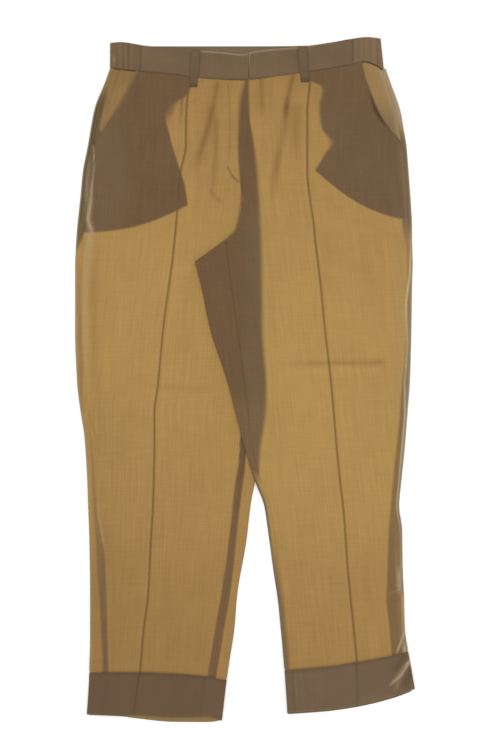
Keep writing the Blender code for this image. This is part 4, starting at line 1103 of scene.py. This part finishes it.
def cuff_colour(side, x, y, share, under):
    # Painted shading of the cuff's folds, and painted shade along its top edge and its crease
    dark = fold_field(CUFF_FOLDS, x, y, "dark")
    crease = LEG[side]["crease"](y) - np.interp(y, [20.0, 70.0], [3.0, 1.0])
    tone = (1.0 - 0.14 * bell(share - 0.97, 0.035)) * (1.0 - 0.20 * bell(x - crease, 1.6))
    if side == "right":
        seam = np.interp(y, [12.7, 56.8], [-60.6, -55.6])
        tone = tone * (1.0 + 0.06 * (x > seam))
    else:
        seam = LEG[side]["inseam"](y) + 2.0
    tone = tone * (1.0 - 0.18 * bell(x - seam, 0.9)) * (1.0 + np.clip(-dark, -0.4, 0.5))
    colour = shaded(CUFF_BROWN[side], tone * blotches(x * 1.3, y * 1.5))
    # A paler fringe of painted light along the cuff's lower edge, left clear of the under part
    edge = bell(share, 0.03) * (0.5 if side == "left" else 0.2)
    colour = paint(edge * (1.0 - under), colour, BRIM_EDGE)
    if side == "left":
        glint = bell(x - CUFF_GLINT(y), 2.2) * ease((y - 48.0) / 14.0) * ease((92.0 - y) / 8.0)
        colour = paint(0.45 * glint, colour, BRIGHT_HIGHLIGHT)
    # Painted backlight on the cuff's under part, where it shows below the hem
    return paint((0.85 if side == "right" else 0.3) * under, colour, HEM_BACKLIGHT_GOLD)


# Stitches

FLY_END = ((-23.5, 777), (-22, 773), (-18, 766), (-13, 760.5), (-7, 755))  # the curve at the fly's foot
STITCH, STITCH_GAP = 2.6, 1.0
THREAD_THIN, THREAD_FAT = 0.04, 0.28  # radius of a stitch at its ends, and what its middle has more
THREAD_RISE = 0.12
THREAD_SIDES, THREAD_RINGS = 6, 5


def stitch_row(name, path, thread):
    """A row of short threads lying on the front along a path of (x, y) points."""
    path = np.array(path, float)
    run = np.concatenate([[0.0], np.cumsum(np.hypot(*np.diff(path, axis=0).T))])
    verts, quads = [], []
    for start in np.arange(0.5, run[-1] - STITCH, STITCH + STITCH_GAP):
        a, b = (np.array([np.interp(t, run, path[:, k]) for k in (0, 1)]) for t in (start, start + STITCH))
        way = (b - a) / np.linalg.norm(b - a)
        side_way = np.array([-way[1], way[0]])
        first = len(verts)
        for i, t in enumerate(np.linspace(0.0, 1.0, THREAD_RINGS)):
            middle = mix(a, b, t)
            fat = THREAD_FAT * math.sqrt(max(0.0, 1.0 - (2.0 * t - 1.0) ** 2)) + THREAD_THIN
            z = float(front("right", middle[:1], middle[1:])[0]) + CLOTH / 2.0
            for k in range(THREAD_SIDES):
                angle = 2.0 * math.pi * k / THREAD_SIDES
                at = middle + side_way * fat * math.cos(angle)
                high = THREAD_RISE * math.sin(math.pi * t) + fat * math.sin(angle)
                verts.append((at[0], at[1], z + high))
            if i:
                ring = first + THREAD_SIDES * i
                quads += [(ring - THREAD_SIDES + k, ring - THREAD_SIDES + (k + 1) % THREAD_SIDES,
                           ring + (k + 1) % THREAD_SIDES, ring + k) for k in range(THREAD_SIDES)]
        quads.append(tuple(range(first + THREAD_SIDES - 1, first - 1, -1)))
        quads.append(tuple(range(len(verts) - THREAD_SIDES, len(verts))))
    mesh = bpy.data.meshes.new(name)
    mesh.from_pydata(in_frame(np.array(verts)).tolist(), [], quads)
    mesh.shade_smooth()
    mesh.materials.append(thread)
    made = placed(name, mesh)
    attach(made, "root")


# Materials

def fill(node, values):
    """Sets inputs of a node by name."""
    for name, value in values.items():
        node.inputs[name].default_value = value


def material(name, roughness, specular):
    made = bpy.data.materials.new(name)
    made.use_nodes = True
    shader = made.node_tree.nodes["Principled BSDF"]
    fill(shader, {"Roughness": roughness, "Specular IOR Level": specular})
    return made, shader


def linen(name, streaks, weave_depth):
    """Woven linen: threads both ways, thick and thin yarns along and across, and a soft sheen."""
    made, shader = material(name, 0.88, 0.22)
    nodes, links = made.node_tree.nodes, made.node_tree.links
    fill(shader, {"Sheen Weight": 0.06, "Sheen Roughness": 0.45, "Sheen Tint": (1.0, 0.93, 0.82, 1.0)})

    def attribute(name):
        node = nodes.new("ShaderNodeAttribute")
        node.attribute_name = name
        return node

    tone, grain = attribute("tone"), attribute("grain")

    def scaled(x, y):
        node = nodes.new("ShaderNodeVectorMath")
        node.operation = "MULTIPLY"
        node.inputs[1].default_value = (x, y, 0.0)
        links.new(grain.outputs["Vector"], node.inputs[0])
        return node.outputs[0]

    def noise(x, y, detail):
        node = nodes.new("ShaderNodeTexNoise")
        fill(node, {"Scale": 1.0, "Detail": detail, "Roughness": 0.55})
        links.new(scaled(x, y), node.inputs["Vector"])
        return node.outputs["Fac"]

    def threads(direction, per_metre):
        node = nodes.new("ShaderNodeTexWave")
        node.bands_direction = direction
        fill(node, {"Scale": per_metre * math.pi / 10.0, "Distortion": 0.6, "Detail": 1.0})
        links.new(grain.outputs["Vector"], node.inputs["Vector"])
        return node.outputs["Fac"]

    def maths(operation, *values):
        node = nodes.new("ShaderNodeMath")
        node.operation = operation
        for socket, value in zip(node.inputs, values):
            if isinstance(value, float):
                socket.default_value = value
            else:
                links.new(value, socket)
        return node.outputs[0]

    def add_around(level, factor, share, middle):
        """Adds a share of a factor to the level, less what the factor is on average."""
        return maths("MULTIPLY_ADD", factor, share, maths("SUBTRACT", level, middle * share))

    along = noise(420.0, 13.0, 3.0)      # thick and thin yarns down the leg
    across = noise(24.0, 400.0, 3.0)     # and across it
    cloudy = noise(60.0, 34.0, 2.0)
    weave = maths("MULTIPLY", threads("X", 1500.0), threads("Y", 1400.0))
    level = maths("MULTIPLY_ADD", along, streaks, 1.0 - 0.5 * streaks)
    level = add_around(level, across, 0.55 * streaks, 0.5)
    level = add_around(level, cloudy, 0.10, 0.5)
    level = add_around(level, weave, 0.10, 0.25)
    colour = nodes.new("ShaderNodeVectorMath")
    colour.operation = "SCALE"
    links.new(tone.outputs["Color"], colour.inputs[0])
    links.new(level, colour.inputs["Scale"])
    links.new(colour.outputs[0], shader.inputs["Base Color"])
    height = maths("ADD", maths("MULTIPLY", along, 0.8), maths("MULTIPLY", across, 0.6))
    height = maths("MULTIPLY_ADD", weave, 0.7, height)
    bump = nodes.new("ShaderNodeBump")
    fill(bump, {"Strength": weave_depth, "Distance": 0.0004})
    links.new(height, bump.inputs["Height"])
    links.new(bump.outputs["Normal"], shader.inputs["Normal"])
    return made


def sewing_thread():
    made, shader = material("sewing_thread", 0.6, 0.5)
    nodes, links = made.node_tree.nodes, made.node_tree.links
    place = nodes.new("ShaderNodeTexCoord")
    twist = nodes.new("ShaderNodeTexWave")
    fill(twist, {"Scale": 900.0})
    twist.bands_direction = "DIAGONAL"
    links.new(place.outputs["Object"], twist.inputs["Vector"])
    ramp = nodes.new("ShaderNodeValToRGB")
    ramp.color_ramp.elements[0].color = (*(THREAD * 0.8), 1.0)
    ramp.color_ramp.elements[1].color = (*THREAD, 1.0)
    links.new(twist.outputs["Fac"], ramp.inputs["Fac"])
    links.new(ramp.outputs["Color"], shader.inputs["Base Color"])
    return made


# Scene

FRAME_TALL = 1.05  # metres of table that the picture is tall
FRAME_MIDDLE = (7.0, 486.4, 4.0)
LENS, SENSOR = 85.0, 36.0


def add_floor():
    bpy.ops.mesh.primitive_plane_add(size=12.0, location=(0.0, 0.0, -0.0004))
    floor = bpy.context.object
    floor.name = "floor"
    white, shader = material("white_table", 0.9, 0.1)
    fill(shader, {"Base Color": (0.93, 0.93, 0.93, 1.0)})
    floor.data.materials.append(white)


def add_area(name, place, size, power, target):
    data = bpy.data.lights.new(name, "AREA")
    data.shape = "DISK"
    data.size = size
    data.energy = power
    lamp = placed(name, data)
    lamp.location = place
    x, y, z = np.subtract(target, place)
    lamp.rotation_euler = (math.acos(-z / math.hypot(x, y, z)), 0.0, math.atan2(x, -y))


def add_light():
    world = bpy.data.worlds.new("studio")
    bpy.context.scene.world = world
    world.use_nodes = True
    fill(world.node_tree.nodes["Background"], {"Color": (1.0, 1.0, 1.0, 1.0), "Strength": 0.72})
    add_area("softbox_above", (0.0, 0.2, 3.2), 2.6, 62.0, (0.0, 0.0, 0.0))
    add_area("softbox_side", (-2.2, 1.4, 1.1), 1.2, 26.0, (0.0, 0.1, 0.0))


def add_camera():
    """Straight above the middle of the picture."""
    data = bpy.data.cameras.new("camera")
    data.lens = LENS
    data.sensor_width = SENSOR
    data.clip_end = 20.0
    camera = placed("camera", data)
    x, y, z = in_frame(np.array(FRAME_MIDDLE))
    camera.location = (x, y, z + FRAME_TALL * LENS / SENSOR)
    bpy.context.scene.camera = camera


CLOTHS = {"linen": linen("linen_cloth", 0.36, 0.30),
          "linen_doubled": linen("linen_cloth_doubled", 0.22, 0.26)}
add_floor()
fly_strip()
band_back()
for part_side in ("right", "left"):
    back_panel(part_side)
    pocket(part_side)
    front_panel(part_side)
    band_front(part_side)
    belt_loop(part_side)
    cuff(part_side)
stitch_row("fly_stitching", FLY_END, sewing_thread())
add_light()
add_camera()
bpy.context.scene.view_settings.view_transform = "Standard"
